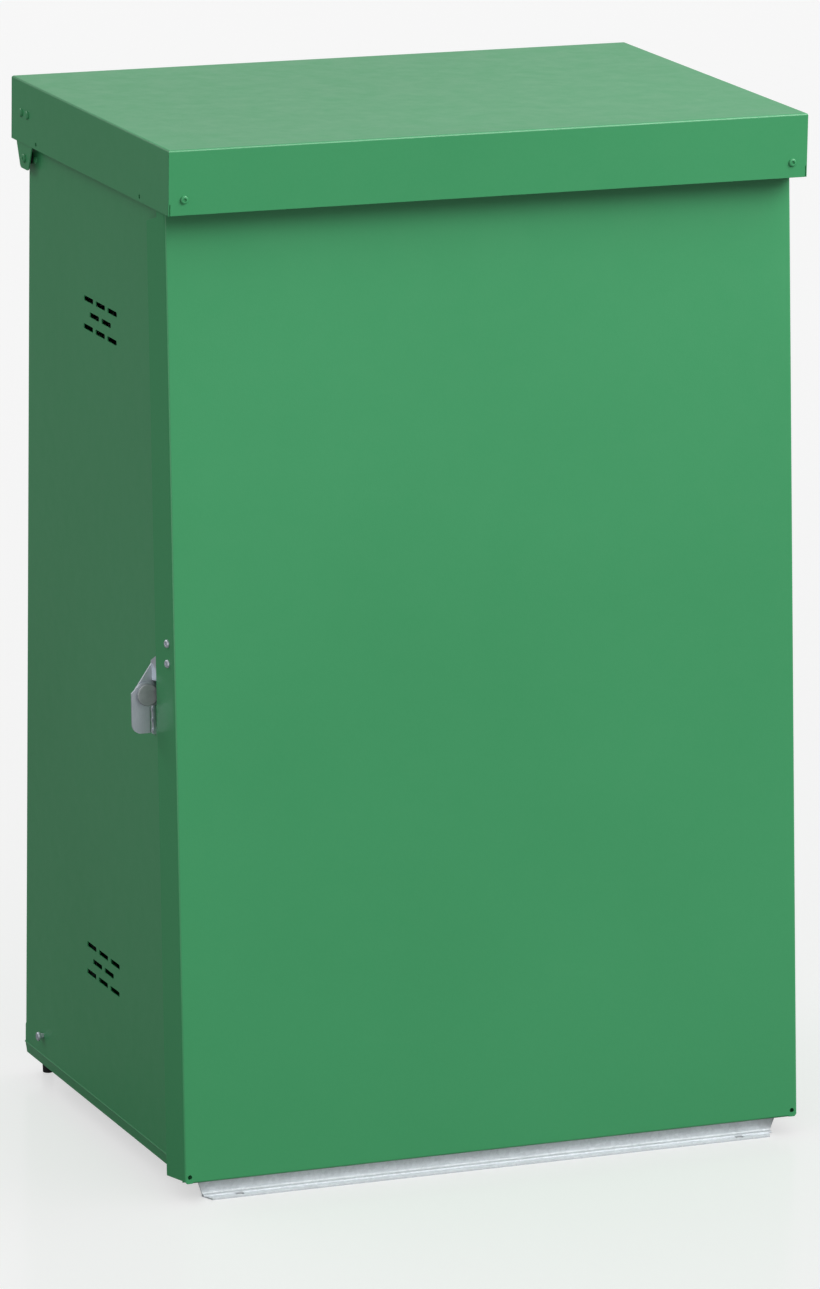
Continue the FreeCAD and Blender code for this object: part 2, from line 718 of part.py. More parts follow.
def door_panel():
    """Door sheet with flared sides, a hem along the bottom and a narrow fold at the top."""
    top = door_length
    skin = box(-door_half, door_half, 0.0, sheet, 0.0, top)
    half = door_half - hem_inset
    hem = box(-half, half, 0.0, door_hem, 0.0, sheet)
    lip = box(-half, half, 0.0, door_top_lip, top - sheet, top)
    blank = prism_xy([(door_flange_x(0.0), 0.0), (door_flange_x(door_flange_depth), door_flange_depth),
                      (door_flange_x(door_flange_depth) + sheet, door_flange_depth),
                      (door_flange_x(0.0) + sheet, 0.0)], 0.0, top)
    skirt_z = (skirt_bottom_z - door_ground_gap) / math.cos(lean) - lid_front_overhang * math.sin(lean)
    cut_low = skirt_z - door_flange_cut_height
    outline = [(0.0, 0.0), (door_flange_depth, 0.0), (door_flange_depth, cut_low),
               (door_flange_top_depth, cut_low + door_flange_cut_height * 0.6),
               (door_flange_top_depth, top), (0.0, top)]
    flange = blank.common(prism_yz(outline, -door_half - 20.0, -door_half + 20.0))
    solid = join([skin, hem, lip] + both_sides(flange))
    corners = [edge for edge in solid.Edges
               if abs(abs(edge.BoundBox.XMin) - door_half) < 0.05
               and abs(abs(edge.BoundBox.XMax) - door_half) < 0.05
               and edge.BoundBox.YMax < 0.05 and edge.Length > top * 0.9]
    if corners:
        solid = solid.makeFillet(sheet, corners)
    cutters = []
    for side in (-1, 1):
        cutters.append(rod(V(side * (door_half - corner_hole_inset), -1.0, corner_hole_rise),
                           V(0, 1, 0), corner_hole_radius, sheet + 1.5))
    cutters += [shape for hole in latch_rivet_holes() for shape in both_sides(hole)]
    clip = prism_xz([(-door_half - 1.0, -1.0), (-door_half + corner_clip, -1.0),
                     (-door_half + corner_clip, 0.0), (-door_half, corner_clip),
                     (-door_half - 1.0, corner_clip)], -1.0, corner_clip + sheet)
    cutters += both_sides(clip)
    return solid.cut(Part.makeCompound(cutters)).removeSplitter()


stiffener_outer_x = door_half - sheet - stiffener_side_gap


def door_stiffener():
    """Left upright hat channel inside the door."""
    x0 = -stiffener_outer_x
    x1 = x0 + stiffener_width
    low = stiffener_end_gap
    high = door_length - stiffener_top_gap
    outer = box(x0, x1, sheet, sheet + stiffener_depth, low, high)
    hollow = box(x0 + sheet, x1 - sheet, sheet - 1.0, stiffener_depth, low - 1.0, high + 1.0)
    return outer.cut(hollow)


def door_cross_stiffener():
    """Level hat channel between the upright ones."""
    half = stiffener_outer_x - stiffener_width - 2.0
    middle = (stiffener_end_gap + door_length - stiffener_top_gap) / 2.0
    outer = box(-half, half, sheet, sheet + stiffener_depth, middle - stiffener_width / 2.0,
                middle + stiffener_width / 2.0)
    hollow = box(-half - 1.0, half + 1.0, sheet - 1.0, stiffener_depth,
                 middle - stiffener_width / 2.0 + sheet, middle + stiffener_width / 2.0 - sheet)
    return outer.cut(hollow)


hanger_pin_z = door_length - hanger_pin_drop


def door_hook(side):
    """Hook plate on the door's inner face, open downwards so that the door lifts off its pin."""
    x = side * hanger_x - hook_thickness / 2.0
    pin = V(x, hanger_pin_setback, hanger_pin_z)
    disc = rod(pin, V(1, 0, 0), hook_radius, hook_thickness)
    web = box(x, x + hook_thickness, sheet, hanger_pin_setback, hanger_pin_z - hook_radius,
              hanger_pin_z + hook_radius)
    solid = join([disc, web])
    slot_radius = hanger_pin_radius + hanger_clearance
    slot = rod(pin - V(1, 0, 0), V(1, 0, 0), slot_radius, hook_thickness + 2.0)
    mouth = box(x - 1.0, x + hook_thickness + 1.0, hanger_pin_setback - slot_radius,
                hanger_pin_setback + slot_radius, hanger_pin_z - hook_radius - 1.0, hanger_pin_z)
    return solid.cut(slot).cut(mouth)


def hanger_bracket(side):
    """Fork on the top front rail that holds the pin of one hook."""
    middle = side * hanger_x
    gap = hook_thickness / 2.0 + hanger_gap
    rail_y = door_to_frame + sheet
    cheeks = []
    for start in (middle - gap - hanger_cheek, middle + gap):
        disc = rod(V(start, hanger_pin_setback, hanger_pin_z), V(1, 0, 0), hook_radius,
                   hanger_cheek)
        web = box(start, start + hanger_cheek, hanger_pin_setback, rail_y, hanger_pin_z - hook_radius,
                  hanger_pin_z + hook_radius)
        cheeks.append(disc.fuse(web))
    base = box(middle - gap - hanger_cheek, middle + gap + hanger_cheek, rail_y - hanger_base,
               rail_y, hanger_pin_z - hook_radius, hanger_pin_z + hook_radius)
    bore = rod(V(middle - gap - hanger_cheek - 1.0, hanger_pin_setback, hanger_pin_z), V(1, 0, 0),
               hanger_pin_radius, 2.0 * (gap + hanger_cheek) + 2.0)
    return join([base] + cheeks).cut(bore)


def hanger_pin(side):
    half = hook_thickness / 2.0 + hanger_gap + hanger_cheek
    middle = side * hanger_x
    pin = rod(V(middle - half, hanger_pin_setback, hanger_pin_z), V(1, 0, 0), hanger_pin_radius,
              2.0 * half)
    head = rod(V(middle - half - hanger_head, hanger_pin_setback, hanger_pin_z), V(1, 0, 0),
               hanger_pin_radius + hanger_head, hanger_head)
    return join([pin, head])


def door_seal():
    """Rubber strips up the body's front edges, which the closed door's stiffeners face."""
    low = (base_top_z - door_ground_gap) / math.cos(lean) + 4.0
    high = door_length - stiffener_top_gap - 2.0
    depth = door_to_frame - sheet - stiffener_depth - seal_gap
    outer = -body_half + 3.0
    return box(outer, outer + seal_width, door_to_frame - depth, door_to_frame, low, high)


# ---- Latch on the left and steady bracket on the right, drawn upright for the left side ----
latch_y = door_flange_depth + latch_gap_behind
lever_y = latch_y + boss_thickness
pad_y = lever_y + latch_plate + latch_play
keeper_y = pad_y + latch_plate + keeper_gap
cam_y = keeper_y + keeper_plate + cam_play
latch_x = -(body_half + latch_pivot_out)
latch_axis = V(0, 1, 0)


def latch_boss():
    """Round cast boss with its spindle through the lever, the pad and the cam."""
    boss = rod(V(latch_x, latch_y, latch_height), latch_axis, boss_radius, boss_thickness)
    rim = [edge for edge in boss.Edges if edge.BoundBox.YMax < latch_y + 0.01]
    boss = boss.makeFillet(boss_edge, rim)
    spindle = rod(V(latch_x, lever_y, latch_height), latch_axis, spindle_radius,
                  cam_y + latch_plate + nut_height - lever_y)
    return join([boss, spindle])


def latch_lever():
    """Lever plate: round at the pivot, with a wide tail that hangs beside the body."""
    rim = lever_rim
    diagonal = rim * math.sqrt(0.5)
    out = latch_x - lever_reach_out
    inner = latch_x + lever_inner_reach
    shoulder_z = latch_height + 2.0 * diagonal - lever_reach_out
    low = latch_height - lever_drop
    corner_x = out + lever_corner
    corner_z = low + lever_corner
    half = lever_corner * (1.0 - math.sqrt(0.5))
    right = latch_x + latch_pivot_out - lever_wall_gap
    rise = math.sqrt(rim ** 2 - (right - latch_x) ** 2)
    edges = [
        Part.LineSegment(V(latch_x - diagonal, 0, latch_height + diagonal),
                         V(out, 0, shoulder_z)).toShape(),
        Part.LineSegment(V(out, 0, shoulder_z), V(out, 0, corner_z)).toShape(),
        Part.Arc(V(out, 0, corner_z), V(out + half, 0, low + half),
                 V(corner_x, 0, low)).toShape(),
        Part.LineSegment(V(corner_x, 0, low), V(inner, 0, low)).toShape(),
        Part.LineSegment(V(inner, 0, low), V(inner, 0, latch_height - rim * 0.9)).toShape(),
        Part.LineSegment(V(inner, 0, latch_height - rim * 0.9),
                         V(right, 0, latch_height - lever_neck_fall)).toShape(),
        Part.LineSegment(V(right, 0, latch_height - lever_neck_fall),
                         V(right, 0, latch_height + rise)).toShape(),
        Part.Arc(V(right, 0, latch_height + rise), V(latch_x, 0, latch_height + rim),
                 V(latch_x - diagonal, 0, latch_height + diagonal)).toShape(),
    ]
    plate = Part.Face(Part.Wire(edges)).extrude(V(0, latch_plate, 0))
    plate.translate(V(0, lever_y, 0))
    fold = box(inner - latch_plate, inner, lever_y, lever_y + lever_return, low,
               latch_height - lever_rim - 3.0)
    solid = join([plate, fold])
    outer_edge = [edge for edge in solid.Edges
                  if abs(edge.BoundBox.XMin - inner) < 0.01 and abs(edge.BoundBox.XMax - inner) < 0.01
                  and edge.BoundBox.YMax < lever_y + 0.01 and edge.Length > 20.0]
    if outer_edge:
        solid = solid.makeFillet(latch_plate * 0.8, outer_edge)
    hole = rod(V(latch_x, lever_y - 1.0, latch_height), latch_axis, spindle_radius, latch_plate + 2.0)
    return solid.cut(hole)


def latch_cam():
    """Cam on the inner end of the spindle; it points up when the latch is open."""
    tip_z = latch_height + latch_pivot_out - keeper_plate - cam_wall_gap - cam_half_width
    arm = box(latch_x - cam_half_width, latch_x + cam_half_width, cam_y, cam_y + latch_plate,
              latch_height, tip_z)
    tip = rod(V(latch_x, cam_y, tip_z), latch_axis, cam_half_width, latch_plate)
    hub = rod(V(latch_x, cam_y, latch_height), latch_axis, cam_hub_radius, latch_plate)
    hole = rod(V(latch_x, cam_y - 1.0, latch_height), latch_axis, spindle_radius, latch_plate + 2.0)
    return join([arm, tip, hub]).cut(hole)


def latch_nut():
    y = cam_y + latch_plate
    nut = rod(V(latch_x, y, latch_height), latch_axis, nut_radius, nut_height)
    return nut.cut(rod(V(latch_x, y - 1.0, latch_height), latch_axis, spindle_radius,
                       nut_height + 2.0))


def latch_bracket():
    """Strap riveted inside the door's flange, with a pad behind its edge that carries the spindle."""
    start = bracket_leg_start
    reach = pad_y + latch_plate
    low = latch_height - bracket_leg_fall
    high = latch_height + bracket_leg_rise
    leg = prism_xy([(door_flange_x(start) + sheet, start), (door_flange_x(reach) + sheet, reach),
                    (door_flange_x(reach) + sheet + latch_plate, reach),
                    (door_flange_x(start) + sheet + latch_plate, start)], low, high)
    edge = door_flange_depth
    slope_top = latch_height + bracket_rise - 8.0
    neck_low = latch_height + bracket_neck_rise
    leg = leg.common(prism_yz([(start, low), (edge, low), (edge, neck_low), (reach, neck_low),
                               (reach, slope_top - 8.0),
                               (edge, slope_top), (edge - 4.0, high), (start, high)],
                              latch_x - 30.0, latch_x + 40.0))
    root = door_flange_x(pad_y) + sheet + latch_plate
    round_out = pad_reach * math.sqrt(0.5)
    pad = prism_xz([(root, latch_height - pad_reach + 4.0), (root, slope_top - 8.0),
                    (root - 2.0, slope_top - 10.0),
                    (latch_x - round_out, latch_height + round_out), (latch_x, latch_height),
                    (latch_x, latch_height - pad_reach + 1.0)], pad_y, pad_y + latch_plate)
    disc = rod(V(latch_x, pad_y, latch_height), latch_axis, pad_reach, latch_plate)
    limit = box(latch_x - 40.0, root, pad_y - 1.0, pad_y + latch_plate + 1.0,
                latch_height - 40.0, latch_height + 60.0)
    solid = join([leg, pad, disc.common(limit)])
    bore = rod(V(latch_x, pad_y - 1.0, latch_height), latch_axis, spindle_radius + pivot_clearance,
               latch_plate + 2.0)
    return solid.cut(Part.makeCompound([bore] + latch_rivet_holes()))


def steady_bracket():
    """Plain strap riveted inside a flange, with a lip turned in to meet the keeper's upright. It is drawn
    for the left and used on the right, where the door has no latch."""
    start = bracket_leg_start
    reach = pad_y + latch_plate
    high = latch_height + bracket_leg_rise
    leg = prism_xy([(door_flange_x(start) + sheet, start), (door_flange_x(reach) + sheet, reach),
                    (door_flange_x(reach) + sheet + latch_plate, reach),
                    (door_flange_x(start) + sheet + latch_plate, start)],
                   latch_height - bracket_leg_fall, high)
    leg = leg.common(prism_yz([(start, latch_height - bracket_leg_fall),
                               (door_flange_depth, latch_height - bracket_leg_fall),
                               (reach, latch_height - steady_lip_half),
                               (reach, latch_height + steady_lip_half),
                               (door_flange_depth, latch_height + bracket_rise), (start, high)],
                              latch_x, -body_half + latch_pivot_out))
    lip = box(door_flange_x(reach) + sheet, -body_half - steady_lip_gap, pad_y, reach,
              latch_height - steady_lip_half, latch_height + steady_lip_half)
    outer = prism_xy([(latch_x, 0.0), (door_flange_x(0.0) + sheet, 0.0),
                      (door_flange_x(reach + 1.0) + sheet, reach + 1.0), (latch_x, reach + 1.0)],
                     latch_height - bracket_leg_fall, high)
    return join([leg, lip]).cut(outer).cut(Part.makeCompound(latch_rivet_holes()))


def latch_rivets():
    """Dome rivets of the left bracket, square to the flared flange."""
    grip = (sheet + latch_plate) * math.cos(flange_turn)
    return [dome_rivet(spot, flange_out, grip) for spot in latch_rivet_spots()]


def latch_keeper():
    """Catch on the body's side: a wall leg with a tail and a short upright that the cam goes behind."""
    wall = -body_half
    face = wall - keeper_plate
    high = latch_height + keeper_rise
    low = latch_height - keeper_fall
    back = keeper_y + keeper_wall_depth
    leg = prism_yz([(keeper_y, low), (keeper_y, high), (back, high),
                    (back, latch_height - keeper_fall - keeper_tail),
                    (back - keeper_tail_width, latch_height - keeper_fall - keeper_tail),
                    (back - keeper_tail_width, low)], face, wall)
    upright = box(wall - keeper_reach, wall, keeper_y, keeper_y + keeper_plate, low, high)
    solid = join([leg, upright])
    cutters = [rod(V(face - 1.0, back - keeper_tail_width / 2.0, latch_height - fall), V(1, 0, 0),
                   keeper_screw_radius, keeper_plate + 2.0) for fall in keeper_screw_falls]
    return solid.cut(Part.makeCompound(cutters))


def keeper_screws():
    """Small pan-head screws in the keeper's tail."""
    screws = []
    face = -body_half - keeper_plate
    y = keeper_y + keeper_wall_depth - keeper_tail_width / 2.0
    for fall in keeper_screw_falls:
        spot = V(face, y, latch_height - fall)
        shank = rod(spot, V(1, 0, 0), keeper_screw_radius, keeper_plate)
        head = rod(spot - V(keeper_screw_head, 0, 0), V(1, 0, 0), keeper_screw_head_radius,
                   keeper_screw_head)
        screws.append(join([shank, head]))
    return screws


# ---- Fit-out ----
fit_back_y = body_back_y - 2.0 * sheet
mount_rail_x = body_half - mount_rail_inset
mount_rail_face_y = fit_back_y - mount_rail_depth
mount_rail_high = body_top_z - mount_rail_top_gap
plate_low = mount_rail_low + plate_rise
plate_high = mount_rail_high - plate_top_gap


def mounting_rail(side):
    """Upright channel on the back panel, with holes at a fixed pitch."""
    x = side * mount_rail_x
    half = mount_rail_width / 2.0
    high = mount_rail_high
    outer = box(x - half, x + half, mount_rail_face_y, fit_back_y, mount_rail_low, high)
    hollow = box(x - half + galv, x + half - galv, mount_rail_face_y + galv, fit_back_y + 1.0,
                 mount_rail_low - 1.0, high + 1.0)
    solid = outer.cut(hollow)
    cutters = []
    count = int((high - mount_rail_low - 2.0 * rail_hole_end) / rail_hole_pitch)
    for number in range(count + 1):
        z = mount_rail_low + rail_hole_end + number * rail_hole_pitch
        cutters.append(rod(V(x, mount_rail_face_y - 1.0, z), V(0, 1, 0), rail_hole_radius, galv + 2.0))
    return solid.cut(Part.makeCompound(cutters))


def plate_bolt_places():
    return [(side * mount_rail_x, z) for side in (-1, 1)
            for z in (plate_low + plate_bolt_inset, plate_high - plate_bolt_inset)]


def mounting_plate():
    """Flat galvanised plate across the two rails, drilled for the equipment."""
    half = mount_rail_x + mount_rail_width / 2.0
    solid = box(-half, half, mount_rail_face_y - plate_thickness, mount_rail_face_y, plate_low,
                plate_high)
    middle = (plate_low + plate_high) / 2.0
    drilled = [(x, z, bolt_radius) for x, z in plate_bolt_places()]
    drilled += [(side * equipment_hole_across / 2.0, middle + up * equipment_hole_up / 2.0,
                 equipment_hole_radius) for side in (-1, 1) for up in (-1, 1)]
    return solid.cut(Part.makeCompound([rod(V(x, mount_rail_face_y - plate_thickness - 1.0, z),
                                            V(0, 1, 0), radius, plate_thickness + 2.0)
                                        for x, z, radius in drilled]))


def mounting_plate_bolts():
    return [hex_bolt(V(x, mount_rail_face_y - plate_thickness, z), V(0, -1, 0), plate_thickness)
            for x, z in plate_bolt_places()]


def cable_clamp_rail():
    """Level channel near the base, slotted for the clamps of incoming cables."""
    half = mount_rail_x + mount_rail_width / 2.0
    back = mount_rail_face_y
    outer = box(-half, half, back - cable_rail_depth, back, cable_rail_z,
                cable_rail_z + cable_rail_height)
    hollow = box(-half - 1.0, half + 1.0, back - cable_rail_depth + galv, back + 1.0,
                 cable_rail_z + galv, cable_rail_z + cable_rail_height - galv)
    count = int((2.0 * half - cable_slot_pitch) / cable_slot_pitch)
    low = cable_rail_z + (cable_rail_height - cable_slot_height) / 2.0
    cutters = [hollow]
    for number in range(count):
        x = (number - (count - 1) / 2.0) * cable_slot_pitch
        cutters.append(box(x - cable_slot_width / 2.0, x + cable_slot_width / 2.0,
                           back - cable_rail_depth - 1.0, back - cable_rail_depth + galv + 1.0,
                           low, low + cable_slot_height))
    return outer.cut(Part.makeCompound(cutters))


def earth_bar():
    """Copper-alloy bar on two stand-offs for earth conductors."""
    half = earth_bar_length / 2.0
    face = mount_rail_face_y - standoff_length
    solid = box(-half, half, face - earth_bar_thickness, face, earth_bar_z,
                earth_bar_z + earth_bar_height)
    return solid.cut(Part.makeCompound([rod(V(x, face - earth_bar_thickness - 1.0, earth_middle_z),
                                            V(0, 1, 0), bolt_radius, earth_bar_thickness + 2.0)
                                        for x in earth_bolt_xs()]))


earth_middle_z = earth_bar_z + earth_bar_height / 2.0


def earth_bolt_xs():
    count = int((earth_bar_length - 2.0 * earth_bolt_end) / earth_bolt_pitch)
    return [(number - count / 2.0) * earth_bolt_pitch for number in range(count + 1)]


def earth_bolts():
    face = mount_rail_face_y - standoff_length - earth_bar_thickness
    return [hex_bolt(V(x, face, earth_middle_z), V(0, -1, 0), earth_bar_thickness)
            for x in earth_bolt_xs()]


def earth_support():
    """Flat strip across the rails that the stand-offs are fixed to."""
    half = mount_rail_x + mount_rail_width / 2.0
    return box(-half, half, mount_rail_face_y - galv, mount_rail_face_y,
               earth_bar_z - earth_support_rim, earth_bar_z + earth_bar_height + earth_support_rim)


def earth_standoffs():
    length = standoff_length - galv
    reach = earth_bar_length / 2.0 - standoff_inset
    return [rod(V(side * reach, mount_rail_face_y - standoff_length, earth_middle_z), V(0, 1, 0),
                standoff_radius, length) for side in (-1, 1)]


def side_screw():
    """Pan-head screw that stands proud at the left panel's lower rear corner."""
    y = body_back_y - side_screw_setback
    start = -body_half - side_screw_proud
    neck = rod(V(start, y, side_screw_z), V(1, 0, 0), side_screw_neck,
               side_screw_proud + body_half - rail_outer_x + galv)
    head = rod(V(start - side_screw_head, y, side_screw_z), V(1, 0, 0), side_screw_radius,
               side_screw_head)
    rim = [edge for edge in head.Edges if edge.BoundBox.XMax < start - side_screw_head + 0.01]
    return join([head.makeFillet(side_screw_edge, rim), neck])


def lid_plate_rivets():
    rivets = []
    for setback in plate_rivet_setbacks:
        spot = V(-lid_half, body_back_y - setback, cabinet_height - plate_rivet_drop)
        rivets += both_sides(dome_rivet(spot, V(-1, 0, 0), 2.0 * sheet))
    return rivets


def lid_corner_rivets():
    spot = V(-(lid_half - corner_rivet_inset), lid_front_y, skirt_bottom_z + corner_rivet_rise)
    return both_sides(dome_rivet(spot, V(0, -1, 0), 2.0 * sheet))


def hinge_plate_rivets():
    spot = V(-body_half, pivot_y - wall_rivet_ahead, pivot_z)
    return both_sides(dome_rivet(spot, V(-1, 0, 0), sheet + galv))


def pair(name, left):
    """Two nodes, one for each side of the cabinet."""
    return {"left_" + name: [left], "right_" + name: [mirrored(left)]}


def build():
    nodes = {}
    nodes.update(pair("side_panel", side_panel()))
    nodes["back_panel"] = [back_panel()]
    nodes["back_panel_rivets"] = back_panel_rivets()
    nodes["top_front_rail"] = [top_front_rail()]
    nodes["top_rear_rail"] = [top_rear_rail()]
    nodes["front_sill"] = [front_sill()]
    nodes["sill_brackets"] = both_sides(sill_bracket())
    nodes["sill_bolts"] = sill_bolts()
    nodes.update(pair("base_rail", base_rail()))
    nodes["rear_base_rail"] = [rear_base_rail()]
    nodes["rear_feet"] = both_sides(rear_foot())
    nodes["side_panel_screws"] = both_sides(side_screw())
    nodes["lid_seal"] = [lid_seal_strip()]
    nodes["hinge_pins"] = both_sides(hinge_pin())
    nodes["hinge_bushes"] = both_sides(hinge_bush())
    nodes["hinge_backing_plates"] = both_sides(hinge_backing_plate())
    nodes["hinge_plate_rivets"] = hinge_plate_rivets()
    nodes["lid_shell"] = [lid_shell()]
    nodes["lid_stiffener"] = [lid_stiffener()]
    nodes["lid_hinge_plates"] = both_sides(lid_hinge_plate())
    nodes["lid_plate_rivets"] = lid_plate_rivets()
    nodes["lid_corner_rivets"] = lid_corner_rivets()
    nodes["door_panel"] = [leaned(door_panel())]
    nodes.update(pair("door_stiffener", leaned(door_stiffener())))
    nodes["door_cross_stiffener"] = [leaned(door_cross_stiffener())]
    nodes["door_hooks"] = [leaned(door_hook(side)) for side in (-1, 1)]
    nodes["door_hanger_brackets"] = [leaned(hanger_bracket(side)) for side in (-1, 1)]
    nodes["door_hanger_pins"] = [leaned(hanger_pin(side)) for side in (-1, 1)]
    nodes["door_seals"] = both_sides(leaned(door_seal()))
    nodes["latch_bracket"] = [leaned(latch_bracket())]
    nodes["steady_bracket"] = [mirrored(leaned(steady_bracket()))]
    nodes["bracket_rivets"] = [shape for rivet in latch_rivets() for shape in both_sides(leaned(rivet))]
    nodes["latch_lever"] = [leaned(latch_lever())]
    nodes["latch_boss"] = [leaned(latch_boss())]
    nodes["latch_cam"] = [leaned(latch_cam())]
    nodes["latch_nut"] = [leaned(latch_nut())]
    nodes.update(pair("keeper", leaned(latch_keeper())))
    nodes["keeper_screws"] = [shape for screw in keeper_screws() for shape in both_sides(leaned(screw))]
    nodes["left_mounting_rail"] = [mounting_rail(-1)]
    nodes["right_mounting_rail"] = [mounting_rail(1)]
    nodes["mounting_plate"] = [mounting_plate()]
    nodes["mounting_plate_bolts"] = mounting_plate_bolts()
    nodes["cable_clamp_rail"] = [cable_clamp_rail()]
    nodes["earth_support"] = [earth_support()]
    nodes["earth_standoffs"] = earth_standoffs()
    nodes["earth_bar"] = [earth_bar()]
    nodes["earth_bolts"] = earth_bolts()
    return nodes


# The cabinet is drawn about its own middle; the latch on the left moves the middle of the whole.
to_middle = V((lever_reach_out - latch_x - lid_half) / 2.0, 0, 0)

os.makedirs("parts", exist_ok=True)
for node_name, solids in build().items():
    for solid in solids:
        if not solid.isValid() or len(solid.Solids) != 1:
            print("check", node_name, "valid", solid.isValid(), "solids", len(solid.Solids))
    shape = solids[0].copy() if len(solids) == 1 else Part.makeCompound(solids)
    shape.translate(to_middle)
    shape.exportStep("parts/" + node_name + ".step")

print("depth", round(overall_depth, 3), "lid hinge", round(pivot_y, 3), round(pivot_z, 3))
print("toe middle", round((toe_front_y + sill_face_y) / 2.0, 3), "rear holes",
      round((rail_back_y + rear_rail_face_y - galv) / 2.0, 3), rail_low + galv / 2.0)
print("plate face", round(mount_rail_face_y - plate_thickness, 3))
door_pin = on_door.multVec(V(0, hanger_pin_setback, hanger_pin_z))
latch_pin = on_door.multVec(V(latch_x, lever_y, latch_height))
print("door hinge", round(door_pin.y, 3), round(door_pin.z, 3))
print("latch", round(latch_pin.x + to_middle.x, 3), round(latch_pin.y, 3), round(latch_pin.z, 3))
print("cabinet middle", round(to_middle.x, 3))
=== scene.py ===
import json
import math

import bmesh
import bpy
from mathutils import Matrix, Vector


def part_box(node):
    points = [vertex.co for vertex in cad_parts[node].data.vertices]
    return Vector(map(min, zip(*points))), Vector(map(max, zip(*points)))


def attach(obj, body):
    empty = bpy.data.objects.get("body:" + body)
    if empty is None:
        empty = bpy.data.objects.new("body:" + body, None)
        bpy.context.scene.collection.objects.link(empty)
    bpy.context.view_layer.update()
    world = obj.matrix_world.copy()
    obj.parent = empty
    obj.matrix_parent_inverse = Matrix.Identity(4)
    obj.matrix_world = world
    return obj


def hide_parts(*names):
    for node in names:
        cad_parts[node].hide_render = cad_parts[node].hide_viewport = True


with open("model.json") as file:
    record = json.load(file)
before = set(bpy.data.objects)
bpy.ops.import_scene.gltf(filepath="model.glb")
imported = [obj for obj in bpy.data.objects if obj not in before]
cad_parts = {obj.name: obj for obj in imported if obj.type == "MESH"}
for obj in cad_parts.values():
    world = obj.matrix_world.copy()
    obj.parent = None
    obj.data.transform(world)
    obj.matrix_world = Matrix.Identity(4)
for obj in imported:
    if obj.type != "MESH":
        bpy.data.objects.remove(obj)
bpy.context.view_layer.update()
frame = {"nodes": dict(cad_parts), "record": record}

MM = 0.001

# ---- Sizes of the sheet work, in metres ----
SHEET = 1.5 * MM
GALV = 2.0 * MM
BEND = 2.5 * MM
LEAN = math.radians(4.63)
BODY_HALF = 380.0 * MM
DOOR_HALF = 383.2 * MM
FLANGE_DEPTH = 40.0 * MM
FLANGE_FLARE = 6.5 * MM
LATCH_HEIGHT = 557.0 * MM
BURR = 0.25 * MM


# ---------------------------------------------------------------- shader maths
class Flow:
    """A shader value. Sums on it add Math nodes to its finish."""

    def __init__(self, finish, socket):
        self.finish = finish
        self.socket = socket

    def math(self, operation, first, second):
        return self.finish.node("ShaderNodeMath", {"operation": operation}, {0: first, 1: second})

    def __add__(self, other):
        return self.math("ADD", self, other)

    def __radd__(self, other):
        return self.math("ADD", other, self)

    def __sub__(self, other):
        return self.math("SUBTRACT", self, other)

    def __rsub__(self, other):
        return self.math("SUBTRACT", other, self)

    def __mul__(self, other):
        return self.math("MULTIPLY", self, other)

    def __rmul__(self, other):
        return self.math("MULTIPLY", other, self)


class Finish:
    """A surface finish: a material whose nodes are added one at a time."""

    def __init__(self, name, **constants):
        self.material = bpy.data.materials.new(name)
        self.material.use_nodes = True
        self.tree = self.material.node_tree
        self.shader = self.tree.nodes["Principled BSDF"]
        self.place = self.node("ShaderNodeTexCoord", {}, {}, "Object")
        for socket, value in constants.items():
            self.set(socket.replace("_", " "), value)

    def node(self, kind, settings, inputs, output=0):
        made = self.tree.nodes.new(kind)
        for key, value in settings.items():
            setattr(made, key, value)
        for key, value in inputs.items():
            self.join(made.inputs[key], value)
        return Flow(self, made.outputs[output])

    def join(self, socket, value):
        if isinstance(value, Flow):
            self.tree.links.new(value.socket, socket)
        else:
            socket.default_value = value

    def set(self, socket, value):
        self.join(self.shader.inputs[socket], value)

    def noise(self, scale, detail=2.0, roughness=0.5, stretch=None):
        """Cloudy pattern of 0 to 1, with scale in lumps per metre."""
        place = self.place
        if stretch:
            place = self.node("ShaderNodeMapping", {}, {"Vector": place, "Scale": stretch})
        return self.node("ShaderNodeTexNoise", {}, {"Vector": place, "Scale": scale, "Detail": detail,
                                                    "Roughness": roughness})

    def cells(self, scale):
        """Random tone in each cell, with scale in cells per metre."""
        return self.node("ShaderNodeTexVoronoi", {}, {"Vector": self.place, "Scale": scale}, "Color")

    def range(self, value, low, high, out_low, out_high):
        return self.node("ShaderNodeMapRange", {}, {"Value": value, "From Min": low, "From Max": high,
                                                    "To Min": out_low, "To Max": out_high})

    def blend(self, amount, first, second):
        """Colour between first and second."""
        return self.node("ShaderNodeMix", {"data_type": "RGBA"}, {0: amount, 6: first, 7: second}, 2)

    def bump(self, *layers):
        """Layers of (height, distance) in metres, one on another, into the shader's Normal."""
        normal = None
        for height, distance in layers:
            inputs = {"Height": height, "Distance": distance, "Strength": 1.0}
            if normal is not None:
                inputs["Normal"] = normal
            normal = self.node("ShaderNodeBump", {}, inputs)
        self.set("Normal", normal)


def rgb(red, green, blue):
    return (red, green, blue, 1.0)


